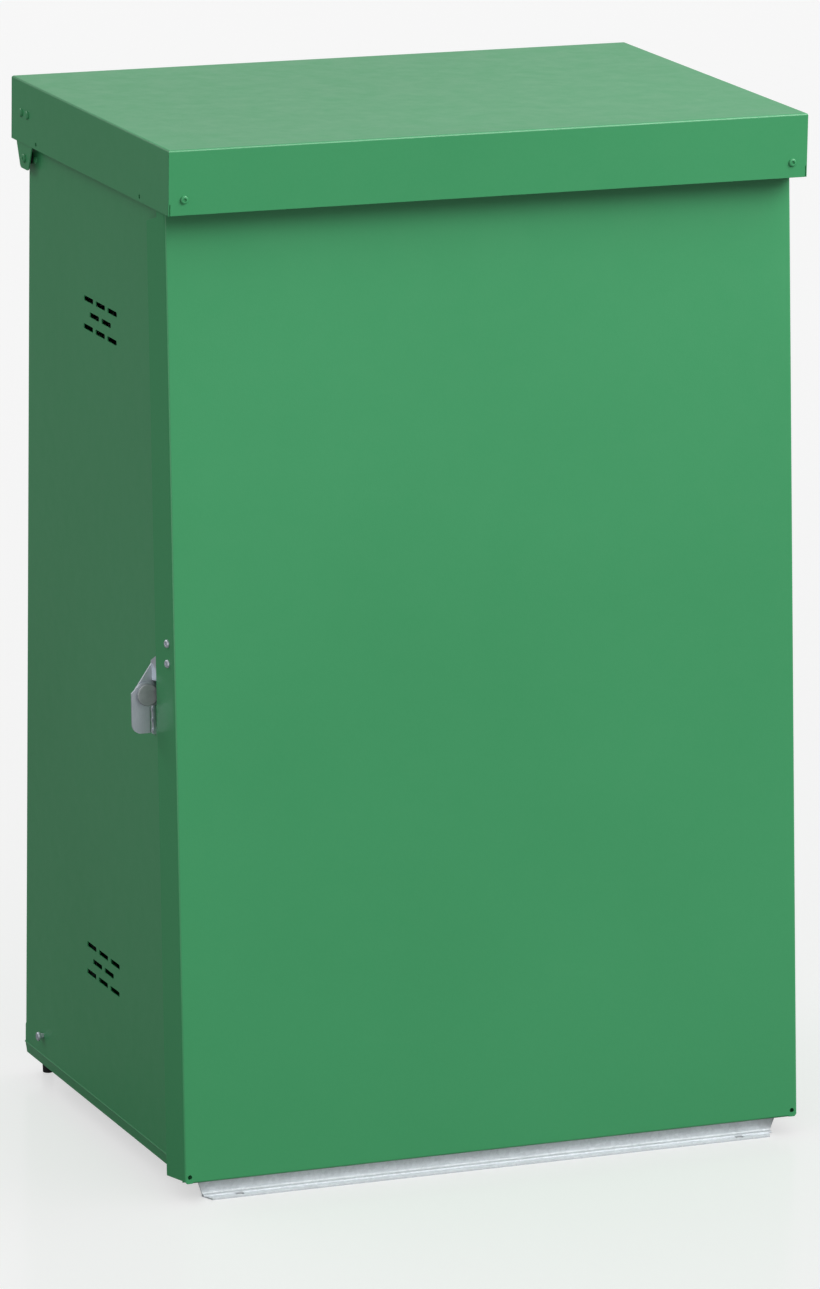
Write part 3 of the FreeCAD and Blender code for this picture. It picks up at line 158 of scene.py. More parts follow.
def powder_coat():
    """Satin green powder coat: fine orange peel on sheet that is not quite flat."""
    coat = Finish("green_powder_coat", Roughness=0.4, Specular_IOR_Level=0.4)
    cloud = coat.noise(2.2, 2.0, 0.5)
    speck = coat.noise(240.0, 3.0, 0.6)
    tone = coat.range(cloud * 0.75 + speck * 0.25, 0.3, 0.7, 0.0, 1.0)
    coat.set("Base Color", coat.blend(tone, rgb(0.039, 0.244, 0.095), rgb(0.045, 0.264, 0.106)))
    coat.set("Roughness", coat.range(coat.noise(38.0, 4.0, 0.6), 0.3, 0.7, 0.28, 0.35))
    peel = coat.noise(620.0, 2.0, 0.5)
    wave = coat.noise(3.0, 1.0, 0.4)
    coat.bump((wave, 0.0025), (peel, 0.00006))
    return coat.material


def galvanised():
    """Hot-dip galvanised steel gone dull: fine spangle, grainy, grey with a blue cast."""
    zinc = Finish("galvanised_steel", Metallic=0.45)
    spangle = zinc.cells(260.0)
    grain = zinc.noise(900.0, 4.0, 0.7)
    cloud = zinc.noise(22.0, 3.0, 0.55)
    shade = zinc.range(spangle * 0.3 + grain * 0.45 + cloud * 0.25, 0.3, 0.7, 0.0, 1.0)
    zinc.set("Base Color", zinc.blend(shade, rgb(0.64, 0.675, 0.705), rgb(0.80, 0.84, 0.87)))
    zinc.set("Roughness", zinc.range(shade, 0.0, 1.0, 0.62, 0.5))
    zinc.bump((spangle, 0.00002), (grain, 0.00007))
    return zinc.material


def bright_zinc():
    """Clear-passivated zinc plate on pressed steel, with a faint drawn grain."""
    plate = Finish("bright_zinc", Metallic=0.7)
    grain = plate.noise(90.0, 4.0, 0.6, (18.0, 18.0, 1.0))
    cloud = plate.noise(60.0, 3.0, 0.5)
    shade = plate.range(grain * 0.5 + cloud * 0.5, 0.3, 0.7, 0.0, 1.0)
    plate.set("Base Color", plate.blend(shade, rgb(0.50, 0.545, 0.61), rgb(0.64, 0.69, 0.75)))
    plate.set("Roughness", plate.range(shade, 0.0, 1.0, 0.42, 0.33))
    plate.bump((grain, 0.00002))
    return plate.material


def cast_zinc():
    """Die-cast zinc: duller, with a fine sandy skin."""
    cast = Finish("cast_zinc", Metallic=0.7)
    sand = cast.noise(900.0, 4.0, 0.65)
    cloud = cast.noise(120.0, 3.0, 0.6)
    shade = cast.range(sand * 0.4 + cloud * 0.6, 0.3, 0.7, 0.0, 1.0)
    cast.set("Base Color", cast.blend(shade, rgb(0.30, 0.33, 0.34), rgb(0.42, 0.45, 0.46)))
    cast.set("Roughness", cast.range(cloud, 0.3, 0.7, 0.5, 0.6))
    cast.bump((sand, 0.00008))
    return cast.material


def brass():
    """Drawn brass bar, slightly dulled."""
    bar = Finish("brass_bar", Metallic=1.0)
    grain = bar.noise(30.0, 4.0, 0.6, (1.0, 30.0, 30.0))
    dull = bar.noise(45.0, 3.0, 0.6)
    bar.set("Base Color", bar.blend(dull, rgb(0.50, 0.33, 0.12), rgb(0.72, 0.50, 0.20)))
    bar.set("Roughness", bar.range(grain, 0.3, 0.7, 0.24, 0.38))
    bar.bump((grain, 0.00002))
    return bar.material


def plastic():
    """Black moulded plastic with a fine spark-eroded texture."""
    shell = Finish("black_plastic", Specular_IOR_Level=0.4)
    grain = shell.noise(1400.0, 3.0, 0.6)
    shell.set("Base Color", shell.blend(grain, rgb(0.010, 0.010, 0.011), rgb(0.022, 0.022, 0.024)))
    shell.set("Roughness", shell.range(shell.noise(80.0, 3.0, 0.6), 0.3, 0.7, 0.42, 0.56))
    shell.bump((grain, 0.00004))
    return shell.material


def rubber():
    """Black rubber with a bloom of dust."""
    foot = Finish("black_rubber", Specular_IOR_Level=0.25)
    bloom = foot.noise(130.0, 5.0, 0.65)
    foot.set("Base Color", foot.blend(bloom, rgb(0.006, 0.006, 0.007), rgb(0.030, 0.030, 0.032)))
    foot.set("Roughness", foot.range(bloom, 0.3, 0.7, 0.62, 0.82))
    foot.bump((foot.noise(800.0, 3.0, 0.6), 0.00008))
    return foot.material


FINISHES = {
    "green_powder_coat": powder_coat(),
    "galvanised_steel": galvanised(),
    "bright_zinc": bright_zinc(),
    "cast_zinc": cast_zinc(),
    "brass_bar": brass(),
    "black_plastic": plastic(),
    "black_rubber": rubber(),
}
SLOT_OF = {part["node"]: part["material_slot"] for part in frame["record"]["subparts"]}

for node_name, node in frame["nodes"].items():
    node.data.materials.clear()
    node.data.materials.append(FINISHES[SLOT_OF[node_name]])


# ---------------------------------------------------------------- workshop
def clear():
    if bpy.context.object and bpy.context.object.mode != "OBJECT":
        bpy.ops.object.mode_set(mode="OBJECT")
    bpy.ops.object.select_all(action="DESELECT")


def only(piece):
    clear()
    piece.select_set(True)
    bpy.context.view_layer.objects.active = piece


def settle(piece):
    """Put the piece's place, turn and size into its mesh."""
    only(piece)
    bpy.ops.object.transform_apply(location=True, rotation=True, scale=True)
    return piece


def block(name, low, high):
    clear()
    low, high = Vector(low), Vector(high)
    bpy.ops.mesh.primitive_cube_add(size=1.0, location=(low + high) / 2.0, scale=high - low)
    bpy.context.object.name = name
    return settle(bpy.context.object)


def rod(name, start, direction, radius, length, sides=32):
    clear()
    direction = Vector(direction).normalized()
    bpy.ops.mesh.primitive_cylinder_add(
        vertices=sides, radius=radius, depth=length, location=Vector(start) + direction * length / 2.0,
        rotation=direction.to_track_quat("Z", "Y").to_euler())
    bpy.context.object.name = name
    return settle(bpy.context.object)


def plate(name, centre, facing, width, height):
    """Flat rectangle with the given width along its level edge."""
    clear()
    turn = Vector(facing).to_track_quat("Z", "Y").to_euler()
    bpy.ops.mesh.primitive_plane_add(size=1.0, location=centre, rotation=turn)
    bpy.context.object.name = name
    bpy.context.object.scale = (width, height, 1.0)
    return settle(bpy.context.object)


def pick(piece, kind, test):
    """Edit the piece with only those vertices, edges or faces selected that pass the test."""
    only(piece)
    bpy.ops.object.mode_set(mode="EDIT")
    bpy.ops.mesh.select_mode(type=kind)
    bpy.ops.mesh.select_all(action="DESELECT")
    mesh = bmesh.from_edit_mesh(piece.data)
    for item in {"VERT": mesh.verts, "EDGE": mesh.edges, "FACE": mesh.faces}[kind]:
        if test(item):
            item.select_set(True)
    mesh.select_flush_mode()
    bmesh.update_edit_mesh(piece.data)


def middle(edge):
    return (edge.verts[0].co + edge.verts[1].co) / 2.0


def along(edge, axis):
    """The edge runs along an axis (0, 1 or 2)."""
    run = (edge.verts[1].co - edge.verts[0].co).normalized()
    return abs(run[axis]) > 0.97


def fold(piece, test, move):
    """Pull the picked edges out into a new fold of the sheet."""
    pick(piece, "EDGE", test)
    bpy.ops.mesh.extrude_region_move(TRANSFORM_OT_translate={"value": move})
    bpy.ops.object.mode_set(mode="OBJECT")


def bend(piece, test, radius, segments=5):
    """Round the picked fold lines."""
    pick(piece, "EDGE", test)
    bpy.ops.mesh.bevel(offset=radius, offset_type="OFFSET", segments=segments, profile=0.5)
    bpy.ops.object.mode_set(mode="OBJECT")


def slice_at(piece, point, normal, drop=False):
    """Cut a line across the piece; drop takes away what lies beyond it."""
    pick(piece, "FACE", lambda face: True)
    bpy.ops.mesh.bisect(plane_co=point, plane_no=normal, clear_outer=drop)
    bpy.ops.object.mode_set(mode="OBJECT")


def apply(piece, kind, **settings):
    step = piece.modifiers.new(kind.lower(), kind)
    for key, value in settings.items():
        setattr(step, key, value)
    only(piece)
    bpy.ops.object.modifier_apply(modifier=step.name)
    return piece


def thicken(piece, thickness):
    """Give a sheet its thickness, behind the face that was drawn."""
    return apply(piece, "SOLIDIFY", thickness=thickness, offset=-1.0, use_even_offset=True)


def cut(piece, *cutters):
    for cutter in cutters:
        apply(piece, "BOOLEAN", object=cutter, operation="DIFFERENCE", solver="MANIFOLD")
        bpy.data.objects.remove(cutter)
    return piece


def ease(piece, width, segments=2, angle=35.0):
    """Take the sharpness off every edge and shade the bends smoothly."""
    apply(piece, "BEVEL", width=width, segments=segments, limit_method="ANGLE",
          angle_limit=math.radians(angle), harden_normals=False)
    only(piece)
    bpy.ops.object.shade_smooth_by_angle(angle=math.radians(angle + 5.0))
    return apply(piece, "WEIGHTED_NORMAL", mode="FACE_AREA", weight=100, keep_sharp=True)


def deburr(sheet):
    """The slight rounding that the coating leaves on cut sheet."""
    return ease(sheet, BURR, 1, 50.0)


def merge(name, pieces):
    clear()
    for piece in pieces:
        piece.select_set(True)
    bpy.context.view_layer.objects.active = pieces[0]
    if len(pieces) > 1:
        bpy.ops.object.join()
    pieces[0].name = name
    return pieces[0]


def hand_in(piece, body, slot_name, *nodes):
    """Finish, place on its body and stand in for the CAD nodes it details."""
    piece.data.materials.clear()
    piece.data.materials.append(FINISHES[slot_name])
    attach(piece, body)
    if nodes:
        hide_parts(*nodes)
    return piece


def mirror_of(piece, name):
    """The same piece for the other side of the cabinet."""
    clear()
    twin = piece.copy()
    twin.data = piece.data.copy()
    twin.name = name
    bpy.context.scene.collection.objects.link(twin)
    across = Matrix.Translation((2.0 * MIDDLE_X, 0.0, 0.0))
    twin.data.transform(across @ Matrix.Diagonal((-1.0, 1.0, 1.0, 1.0)))
    pick(twin, "FACE", lambda face: True)
    bpy.ops.mesh.flip_normals()
    bpy.ops.object.mode_set(mode="OBJECT")
    return twin


# ---------------------------------------------------------------- places, from the CAD boxes
LID_LOW, LID_HIGH = (Vector(corner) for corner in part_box("lid_shell"))
DOOR_LOW, DOOR_HIGH = (Vector(corner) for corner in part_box("door_panel"))
WALL_LOW, WALL_HIGH = (Vector(corner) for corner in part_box("left_side_panel"))
SILL_LOW, SILL_HIGH = (Vector(corner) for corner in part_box("front_sill"))
MIDDLE_X = (LID_LOW.x + LID_HIGH.x) / 2.0
LEFT, FRONT, UP = Vector((-1, 0, 0)), Vector((0, -1, 0)), Vector((0, 0, 1))
WALL_X = MIDDLE_X - BODY_HALF
DOOR_FOOT = Vector((MIDDLE_X, DOOR_LOW.y, DOOR_LOW.z + FLANGE_DEPTH * math.sin(LEAN)))
DOOR_LENGTH = (DOOR_HIGH.z - DOOR_FOOT.z) / math.cos(LEAN)
ON_DOOR = Matrix.Translation(DOOR_FOOT) @ Matrix.Rotation(-LEAN, 4, "X")


def leaned(piece):
    """From the upright drawing of the door to its place on the slope."""
    piece.data.transform(ON_DOOR)
    return piece


# ---------------------------------------------------------------- lid
def lid_cover():
    slit, slit_height = 1.0 * MM, 13.0 * MM
    seam, seam_depth = 0.5 * MM, 0.9 * MM
    hole_rise, hole_radius = 6.0 * MM, 2.5 * MM
    hole_places = (203.06 * MM, -134.94 * MM)
    tab_width, tab_clearance = 30.0 * MM, 12.0 * MM
    lid = block("lid_cover", LID_LOW, LID_HIGH)
    pick(lid, "FACE", lambda face: face.normal.z < -0.9)
    bpy.ops.mesh.delete(type="FACE")
    bpy.ops.object.mode_set(mode="OBJECT")
    bend(lid, lambda edge: middle(edge).z > LID_HIGH.z - MM and not along(edge, 2), BEND)
    thicken(lid, SHEET)
    cutters = []
    for side, x in ((1, LID_LOW.x), (-1, LID_HIGH.x)):
        seam_x = x + side * SHEET
        for y, into in ((LID_LOW.y, 1), (LID_HIGH.y, -1)):
            low_y, high_y = sorted((y - into * MM, y + into * SHEET))
            cutters.append(block("slit", (seam_x - slit / 2, low_y, LID_LOW.z - MM),
                                 (seam_x + slit / 2, high_y, LID_LOW.z + slit_height)))
            groove_y = y + into * SHEET
            low_x, high_x = sorted((x - side * MM, x + side * seam_depth))
            cutters.append(block("groove", (low_x, groove_y - seam / 2, LID_LOW.z - MM),
                                 (high_x, groove_y + seam / 2, LID_HIGH.z - 2.0 * BEND)))
    for y in hole_places:
        cutters.append(rod("hole", (LID_LOW.x - MM, y, LID_LOW.z + hole_rise), -LEFT, hole_radius,
                           LID_HIGH.x - LID_LOW.x + 2.0 * MM, 20))
    pieces = [deburr(cut(lid, *cutters))]
    for side, x in ((1, LID_LOW.x), (-1, LID_HIGH.x)):
        low_x, high_x = sorted((x + side * SHEET, x + side * (SHEET + tab_width)))
        pieces.append(deburr(block("corner_tab", (low_x, LID_LOW.y + SHEET, LID_LOW.z + 2.0 * MM),
                                   (high_x, LID_LOW.y + 2.0 * SHEET, LID_HIGH.z - tab_clearance))))
    return hand_in(merge("lid_cover", pieces), "lid", "green_powder_coat", "lid_shell")


# ---------------------------------------------------------------- door
def door_sheet():
    clip, hem, lip, hem_inset = 3.0 * MM, 10.0 * MM, 6.0 * MM, 11.0 * MM
    top_depth, notch_rise, notch_slope = 18.0 * MM, 14.0 * MM, 0.6
    under_lid = 2.45 * MM
    hole_inset, hole_rise, hole_radius = 6.5 * MM, 7.5 * MM, 2.6 * MM
    tab_depth, tab_width, tab_top, tab_foot = 8.0 * MM, 16.0 * MM, 17.0 * MM, 0.4 * MM
    past = 20.0 * MM
    door = plate("door_sheet", (0.0, 0.0, DOOR_LENGTH / 2.0), FRONT, 2.0 * DOOR_HALF, DOOR_LENGTH)
    pick(door, "VERT", lambda vert: True)
    bpy.ops.mesh.bevel(offset=clip, segments=1, affect="VERTICES")
    bpy.ops.object.mode_set(mode="OBJECT")
    for side in (-1, 1):
        slice_at(door, (side * (DOOR_HALF - hem_inset), 0, 0), (1, 0, 0))
    edge_x = DOOR_HALF - 0.1 * MM
    fold(door, lambda edge: along(edge, 2) and middle(edge).x < -edge_x, (-FLANGE_FLARE, FLANGE_DEPTH, 0))
    fold(door, lambda edge: along(edge, 2) and middle(edge).x > edge_x and middle(edge).y < MM,
         (FLANGE_FLARE, FLANGE_DEPTH, 0))
    fold(door, lambda edge: along(edge, 0) and middle(edge).z < MM and abs(middle(edge).x) < MM, (0, hem, 0))
    fold(door, lambda edge: along(edge, 0) and middle(edge).z > DOOR_LENGTH - MM and abs(middle(edge).x) < MM,
         (0, lip, 0))
    bend(door, lambda edge: abs(middle(edge).y) < 0.01 * MM and len(edge.link_faces) == 2
         and (abs(middle(edge).x) > edge_x or abs(middle(edge).x) < MM), BEND)
    pick(door, "FACE", lambda face: True)
    bpy.ops.mesh.normals_make_consistent(inside=False)
    bpy.ops.object.mode_set(mode="OBJECT")
    facing = sum((face.normal * face.area for face in door.data.polygons), Vector())
    if facing.y > 0.0:
        door.data.flip_normals()
    thicken(door, SHEET)
    skirt_z = (LID_LOW.z - DOOR_FOOT.z) / math.cos(LEAN) - under_lid
    cutters = []
    for side in (-1, 1):
        notch = block("notch", (side * DOOR_HALF - past, top_depth, skirt_z - notch_rise),
                      (side * DOOR_HALF + past, FLANGE_DEPTH + past / 2.0, DOOR_LENGTH + past / 2.0))
        pick(notch, "VERT", lambda vert: vert.co.z < skirt_z and vert.co.y < top_depth + MM)
        bpy.ops.transform.translate(value=(0, 0, notch_rise * notch_slope))
        bpy.ops.object.mode_set(mode="OBJECT")
        cutters.append(notch)
        cutters.append(rod("corner_hole", (side * (DOOR_HALF - hole_inset), -MM, hole_rise), -FRONT,
                           hole_radius, 4.0 * MM, 24))
    pieces = [deburr(cut(door, *cutters))]
    for side in (-1, 1):
        low_x, high_x = sorted((side * (DOOR_HALF - 0.6 * MM), side * (DOOR_HALF - tab_width)))
        pieces.append(deburr(block("corner_tab", (low_x, tab_depth, tab_foot),
                                   (high_x, tab_depth + SHEET, tab_top))))
    return hand_in(leaned(merge("door_sheet", pieces)), "door", "green_powder_coat", "door_panel")


# ---------------------------------------------------------------- side panels
def front_edge_y(z):
    """The frame's sloping front edge at a height."""
    return DOOR_FOOT.y + (z - DOOR_FOOT.z) * math.tan(LEAN) + 20.0 * MM / math.cos(LEAN)


def side_wall():
    low, high = WALL_LOW.z, WALL_HIGH.z
    back = WALL_HIGH.y
    crease, crease_half, base_top = low + 13.8 * MM, 1.6 * MM, 62.0 * MM
    crease_out, foot_in = 1.2 * MM, 2.0 * MM
    front_lip, back_lip, top_lip = 18.0 * MM, 20.0 * MM, 16.0 * MM
    slot_half, slot_half_height, slot_corner = 15.0 * MM, 3.0 * MM, 1.5 * MM
    slot_pitch, row_pitch = 38.4 * MM, 16.4 * MM
    vents = ((back - 239.0 * MM, LID_HIGH.z - 238.0 * MM), (back - 262.5 * MM, 200.0 * MM))
    wall = plate("left_side_wall", (WALL_X, (DOOR_LOW.y + back) / 2.0, (low + high) / 2.0), LEFT,
                 back - DOOR_LOW.y, high - low)
    slope = Vector((0.0, math.cos(LEAN), -math.sin(LEAN)))
    slice_at(wall, (WALL_X, front_edge_y(low), low), -slope, drop=True)
    for z in (crease - crease_half, crease, crease + crease_half, base_top):
        slice_at(wall, (WALL_X, 0.0, z), UP)
    pick(wall, "VERT", lambda vert: abs(vert.co.z - crease) < 0.1 * MM)
    bpy.ops.transform.translate(value=(-crease_out, 0, 0))
    pick(wall, "VERT", lambda vert: vert.co.z < low + 0.1 * MM)
    bpy.ops.transform.translate(value=(foot_in, 0, 0))
    bpy.ops.object.mode_set(mode="OBJECT")

    def on_front(edge):
        spot = middle(edge)
        return abs(spot.y - front_edge_y(spot.z)) < 0.2 * MM and spot.z > base_top and not along(edge, 1)

    def on_back(edge):
        spot = middle(edge)
        return abs(spot.y - back) < 0.1 * MM and spot.z > base_top and along(edge, 2)

    def on_top(edge):
        return middle(edge).z > high - 0.1 * MM and along(edge, 1) and middle(edge).x < WALL_X + 0.1 * MM

    fold(wall, on_front, (front_lip, 0, 0))
    fold(wall, on_back, (back_lip, 0, 0))
    fold(wall, on_top, (top_lip, 0, 0))
    bend(wall, lambda edge: abs(middle(edge).x - WALL_X) < 0.1 * MM
         and (on_front(edge) or on_back(edge) or on_top(edge)), BEND, 4)
    facing = sum((face.normal * face.area for face in wall.data.polygons), Vector())
    if facing.x > 0.0:
        wall.data.flip_normals()
    thicken(wall, SHEET)
    slots = []
    for middle_y, middle_z in vents:
        for row, count in enumerate((3, 2, 3)):
            z = middle_z + (1 - row) * row_pitch
            for place in range(count):
                y = middle_y + (2 * place - (count - 1)) / 2.0 * slot_pitch
                slot = block("slot", (WALL_X - 3 * MM, y - slot_half, z - slot_half_height),
                             (WALL_X + 3 * MM, y + slot_half, z + slot_half_height))
                bend(slot, lambda edge: along(edge, 0), slot_corner, 4)
                slots.append(slot)
    return cut(wall, merge("slots", slots))


def side_walls():
    left = side_wall()
    right = mirror_of(left, "right_side_wall")
    hand_in(deburr(left), "frame", "green_powder_coat", "left_side_panel")
    hand_in(deburr(right), "frame", "green_powder_coat", "right_side_panel")


# ---------------------------------------------------------------- sill
def sill():
    half = (SILL_HIGH.x - SILL_LOW.x) / 2.0
    top_depth, foot_lip, fold_radius = 22.0 * MM, 5.0 * MM, 3.0 * MM
    face = SILL_HIGH.y - top_depth
    toe_front = SILL_LOW.y
    taper, taper_height, mitre = 5.0 * MM, 17.0 * MM, 7.0 * MM
    slot_place, slot_half, slot_half_width, slot_corner = 313.0 * MM, 5.5 * MM, 3.5 * MM, 3.4 * MM
    end = half - taper
    foot_z = 3.4 * MM
    web = plate("sill_web", (MIDDLE_X, face, (foot_z + SILL_HIGH.z) / 2.0), FRONT, 2.0 * half,
                SILL_HIGH.z - foot_z)
    slice_at(web, (0, 0, taper_height), UP)
    pick(web, "VERT", lambda vert: vert.co.z < foot_z + 0.1 * MM)
    bpy.ops.transform.resize(value=(end / half, 1, 1), center_override=(MIDDLE_X, 0, 0))
    bpy.ops.object.mode_set(mode="OBJECT")
    fold(web, lambda edge: along(edge, 0) and middle(edge).z < foot_z + 0.1 * MM, (0, -foot_lip, 0))
    fold(web, lambda edge: along(edge, 0) and middle(edge).z > SILL_HIGH.z - 0.1 * MM, (0, top_depth, 0))
    bend(web, lambda edge: along(edge, 0) and len(edge.link_faces) == 2
         and abs(middle(edge).y - face) < 0.1 * MM
         and abs(middle(edge).z - taper_height) > MM, fold_radius)
    thicken(web, GALV)
    ease(web, 0.3 * MM, 2, 50.0)
    hand_in(web, "frame", "galvanised_steel", "front_sill")

    toe = block("sill_toe", (MIDDLE_X - end, toe_front, 0.0), (MIDDLE_X + end, face + 2.0 * MM, GALV))
    for side in (-1, 1):
        pick(toe, "EDGE", lambda edge: along(edge, 2) and middle(edge).y < toe_front + 0.1 * MM
             and (middle(edge).x - MIDDLE_X) * side > 0.0)
        bpy.ops.transform.translate(value=(-side * mitre, 0, 0))
        bpy.ops.object.mode_set(mode="OBJECT")
    slots = []
    for side in (-1, 1):
        x, y = MIDDLE_X + side * slot_place, (toe_front + face) / 2.0
        slot = block("slot", (x - slot_half, y - slot_half_width, -MM),
                     (x + slot_half, y + slot_half_width, 3 * MM))
        bend(slot, lambda edge: along(edge, 2), slot_corner, 6)
        slots.append(slot)
    cut(toe, *slots)
    ease(toe, 0.3 * MM, 2, 50.0)
    return hand_in(toe, "frame", "galvanised_steel")


# ---------------------------------------------------------------- rivets and screws
def on_rim(edge, spot, outwards, height):
    """The edge is one of a head's outermost ones."""
    return all((vert.co - spot).dot(outwards) > height for vert in edge.verts)


def blind_rivet(name, spot, outwards, radius=4.8 * MM, height=2.2 * MM, dimple=1.5 * MM):
    """Dome head with the hole that the broken-off pin leaves."""
    dimple_depth, crown = 1.3 * MM, 0.92
    outwards = Vector(outwards).normalized()
    spot = Vector(spot)
    rivet = rod(name, spot, outwards, radius, height, 32)
    pick(rivet, "EDGE", lambda edge: on_rim(edge, spot, outwards, height * 0.9))
    bpy.ops.mesh.bevel(offset=height * crown, segments=5, profile=0.55)
    pick(rivet, "FACE", lambda face: face.normal.dot(outwards) > 0.99)
    inner = radius - height * crown
    bpy.ops.mesh.inset(thickness=max(inner - dimple, 0.1 * MM))
    bpy.ops.mesh.extrude_region_move(TRANSFORM_OT_translate={"value": outwards * -dimple_depth})
    bpy.ops.transform.resize(value=(0.8, 0.8, 0.8))
    bpy.ops.object.mode_set(mode="OBJECT")
    return ease(rivet, 0.12 * MM, 2, 50.0)


def dome(name, spot, outwards, radius, height):
    """Plain round head."""
    outwards = Vector(outwards).normalized()
    spot = Vector(spot)
    head = rod(name, spot, outwards, radius, height, 40)
    pick(head, "EDGE", lambda edge: on_rim(edge, spot, outwards, height * 0.9))
    bpy.ops.mesh.bevel(offset=height * 0.95, segments=7, profile=0.5)
    bpy.ops.object.mode_set(mode="OBJECT")
    only(head)
    bpy.ops.object.shade_smooth_by_angle(angle=math.radians(40.0))
    return head


def rivets():
    corner_in, corner_rise = 18.5 * MM, 17.5 * MM
    plate_drop, plate_setbacks = 38.0 * MM, (0.8 * MM, 21.0 * MM)
    pin_reach, shank_depth, shank_radius = 1.4 * MM, 6.0 * MM, 3.0 * MM
    corner = [blind_rivet("rivet", (x, LID_LOW.y, LID_LOW.z + corner_rise), FRONT)
              for x in (LID_LOW.x + corner_in, LID_HIGH.x - corner_in)]
    hand_in(merge("lid_corner_heads", corner), "lid", "green_powder_coat", "lid_corner_rivets")
    heads = []
    for setback in plate_setbacks:
        for x, outwards in ((LID_LOW.x, LEFT), (LID_HIGH.x, -LEFT)):
            spot = (x, WALL_HIGH.y - setback, LID_HIGH.z - plate_drop)
            heads.append(dome("rivet", spot, outwards, 5.2 * MM, 2.1 * MM))
    hand_in(merge("lid_plate_heads", heads), "lid", "green_powder_coat", "lid_plate_rivets")
    low, high = (Vector(corner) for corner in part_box("hinge_pins"))
    pins = []
    for x, outwards in ((low.x + pin_reach, LEFT), (high.x - pin_reach, -LEFT)):
        spot = Vector((x, (low.y + high.y) / 2.0, (low.z + high.z) / 2.0))
        pins.append(blind_rivet("pin", spot, outwards, 5.4 * MM, 2.4 * MM, 1.3 * MM))
        pins.append(rod("shank", spot - outwards * shank_depth, outwards, shank_radius,
                        shank_depth + 0.2 * MM, 24))
    hand_in(merge("hinge_pin_heads", pins), "frame", "green_powder_coat", "hinge_pins")
    turn = math.atan2(FLANGE_FLARE, FLANGE_DEPTH)
    depth = FLANGE_DEPTH - 26.0 * MM
    heads = []
    for side in (-1, 1):
        outwards = Vector((side * math.cos(turn), -math.sin(turn), 0.0))
        for rise in (39.6 * MM, 62.4 * MM):
            spot = Vector((side * (DOOR_HALF + FLANGE_FLARE * depth / FLANGE_DEPTH), depth,
                           LATCH_HEIGHT + rise))
            heads.append(blind_rivet("rivet", spot, outwards))
    hand_in(leaned(merge("bracket_heads", heads)), "door", "bright_zinc", "bracket_rivets")


def side_screws():
    heads = []
    y, z = WALL_HIGH.y - 60.0 * MM, 61.5 * MM
    proud, head_radius, head_height = 4.4 * MM, 5.4 * MM, 3.2 * MM
    recess, arm, arm_half = 1.6 * MM, 3.0 * MM, 0.65 * MM
    for side in (-1, 1):
        wall = MIDDLE_X + side * BODY_HALF
        outwards = Vector((side, 0, 0))
        neck = rod("neck", (wall - side * 5.0 * MM, y, z), outwards, 3.2 * MM, 9.6 * MM, 24)
        spot = Vector((wall + side * proud, y, z))
        head = rod("head", spot, outwards, head_radius, head_height, 40)
        pick(head, "EDGE", lambda edge: on_rim(edge, spot, outwards, head_height * 0.9))
        bpy.ops.mesh.bevel(offset=1.7 * MM, segments=5, profile=0.5)
        bpy.ops.object.mode_set(mode="OBJECT")
        tip = spot + outwards * head_height
        cross = [block("recess", tip - Vector((recess, wide, tall)), tip + Vector((recess, wide, tall)))
                 for wide, tall in ((arm_half, arm), (arm, arm_half))]
        cut(head, *cross)
        heads += [neck, ease(head, 0.15 * MM, 1, 40.0)]
    hand_in(merge("side_screw_heads", heads), "frame", "bright_zinc", "side_panel_screws")


# ---------------------------------------------------------------- CAD shapes with their edges taken off
def eased_copy(node_name, body, width, segments=2):
    clear()
    node = frame["nodes"][node_name]
    mesh = node.data.copy()
    mesh.transform(node.matrix_world)
    piece = bpy.data.objects.new(node_name + "_eased", mesh)
    bpy.context.scene.collection.objects.link(piece)
    pick(piece, "FACE", lambda face: True)
    bpy.ops.mesh.remove_doubles(threshold=0.002 * MM)
    bpy.ops.mesh.dissolve_limited(angle_limit=math.radians(0.5))
    bpy.ops.object.mode_set(mode="OBJECT")
    ease(piece, width, segments, 35.0)
    return hand_in(piece, body, SLOT_OF[node_name], node_name)


EASED = {
    0.5 * MM: ("latch_lever", "latch_bracket", "steady_bracket", "latch_cam", "left_keeper", "right_keeper",
               "lid_hinge_plates", "earth_bar", "rear_feet"),
    0.3 * MM: ("latch_boss", "latch_nut", "hinge_bushes", "hinge_backing_plates", "door_hooks",
               "door_hanger_brackets", "left_base_rail", "right_base_rail", "rear_base_rail",
               "sill_brackets", "back_panel", "left_mounting_rail", "right_mounting_rail",
               "mounting_plate", "mounting_plate_bolts", "cable_clamp_rail", "earth_support",
               "earth_standoffs", "earth_bolts", "top_front_rail", "top_rear_rail", "lid_stiffener",
               "left_door_stiffener", "right_door_stiffener", "door_cross_stiffener"),
}
BODY_OF = {
    name: body
    for body, names in frame["record"]["behaviour"]["bodies"].items()
    for name in names
}

lid_cover()
door_sheet()
side_walls()
sill()
rivets()
side_screws()
for edge_width, names in EASED.items():
    for name in names:
        eased_copy(name, BODY_OF[name], edge_width)


# ---------------------------------------------------------------- studio
ROOM_LIGHT = 0.52
KEY_PLACE = (2.82, -3.13, 4.14)
KEY_POWER = 350.0
FLOOR_GLOW = 0.57
FLOOR_ROUGHNESS = 0.16
FLOOR_BOUNCE = 0.4
CAMERA_PLACE = (-3.4135, -8.1363, 2.7467)
CAMERA_FORWARD = (0.37697, 0.89432, -0.24100)
CAMERA_RIGHT = (0.92286, -0.38482, 0.01550)
LENS_MM = 217.7


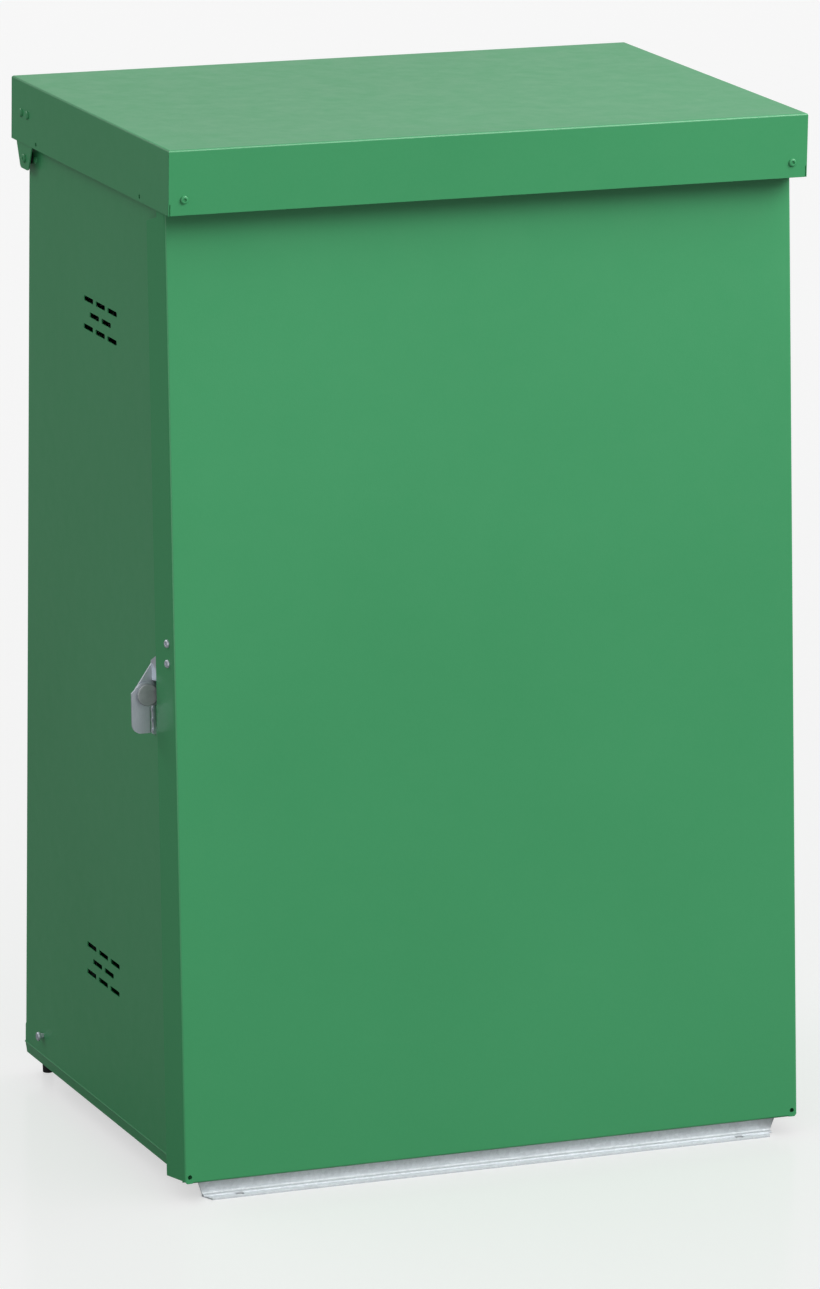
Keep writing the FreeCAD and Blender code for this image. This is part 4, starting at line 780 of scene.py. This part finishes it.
def soft_box(name, place, aim, width, height, power):
    lamp = bpy.data.lights.new(name, "AREA")
    lamp.shape = "RECTANGLE"
    lamp.size = width
    lamp.size_y = height
    lamp.energy = power
    holder = bpy.data.objects.new(name, lamp)
    bpy.context.scene.collection.objects.link(holder)
    holder.location = place
    holder.rotation_euler = (Vector(aim) - Vector(place)).to_track_quat("-Z", "Y").to_euler()
    return holder


def studio():
    """Pale floor and four soft lamps, which leave the floor to the room's own light."""
    clear()
    bpy.ops.mesh.primitive_plane_add(size=80.0, location=(0.0, 0.0, 0.0))
    floor = bpy.context.object
    floor.name = "studio_floor"
    pale = Finish("studio_floor", Roughness=FLOOR_ROUGHNESS, Emission_Strength=FLOOR_GLOW,
                  Specular_IOR_Level=0.035)
    pale.set("Emission Color", rgb(1.0, 1.0, 1.0))
    pale.set("Base Color", pale.blend(pale.noise(1.5), rgb(0.61, 0.61, 0.61), rgb(0.62, 0.62, 0.62)))
    bounce = pale.node("ShaderNodeBsdfDiffuse", {}, {"Color": rgb(FLOOR_BOUNCE, FLOOR_BOUNCE, FLOOR_BOUNCE)})
    seen = pale.node("ShaderNodeLightPath", {}, {}, "Is Camera Ray")
    both = pale.node("ShaderNodeMixShader", {}, {0: seen, 1: bounce, 2: Flow(pale, pale.shader.outputs[0])})
    pale.join(pale.tree.nodes["Material Output"].inputs["Surface"], both)
    floor.data.materials.append(pale.material)

    world = bpy.data.worlds.new("studio")
    bpy.context.scene.world = world
    world.use_nodes = True
    world.node_tree.nodes["Background"].inputs["Color"].default_value = (1.0, 1.0, 1.0, 1.0)
    world.node_tree.nodes["Background"].inputs["Strength"].default_value = ROOM_LIGHT

    key = soft_box("key_light", KEY_PLACE, (0.0, 0.0, 0.6), 3.9, 3.1, KEY_POWER)
    over = soft_box("over_light", (1.35, -1.1, 4.4), (0.0, -0.2, 1.2), 1.2, 1.2, 26.0)
    edge = soft_box("edge_light", (-1.75, -1.85, 0.55), (-0.37, -0.2, 0.6), 1.0, 1.1, 9.0)
    back = soft_box("rear_left_light", (-2.0, 1.9, 2.6), (-0.37, 0.1, 0.8), 1.2, 1.2, 22.0)
    spared = bpy.data.collections.new("lights_spare_the_floor")
    spared.objects.link(floor)
    for lamp in (key, over, edge, back):
        lamp.light_linking.receiver_collection = spared
    spared.collection_objects[0].light_linking.link_state = "EXCLUDE"
    bpy.context.scene.view_settings.view_transform = "Standard"


def camera():
    lens = bpy.data.cameras.new("camera")
    holder = bpy.data.objects.new("camera", lens)
    bpy.context.scene.collection.objects.link(holder)
    lens.sensor_width = 36.0
    lens.lens = LENS_MM
    lens.clip_end = 200.0
    forward = Vector(CAMERA_FORWARD).normalized()
    right = Vector(CAMERA_RIGHT).normalized()
    up = right.cross(forward).normalized()
    right = forward.cross(up)
    turn = Matrix((right, up, -forward)).transposed()
    holder.matrix_world = Matrix.Translation(CAMERA_PLACE) @ turn.to_4x4()
    bpy.context.scene.camera = holder


studio()
camera()
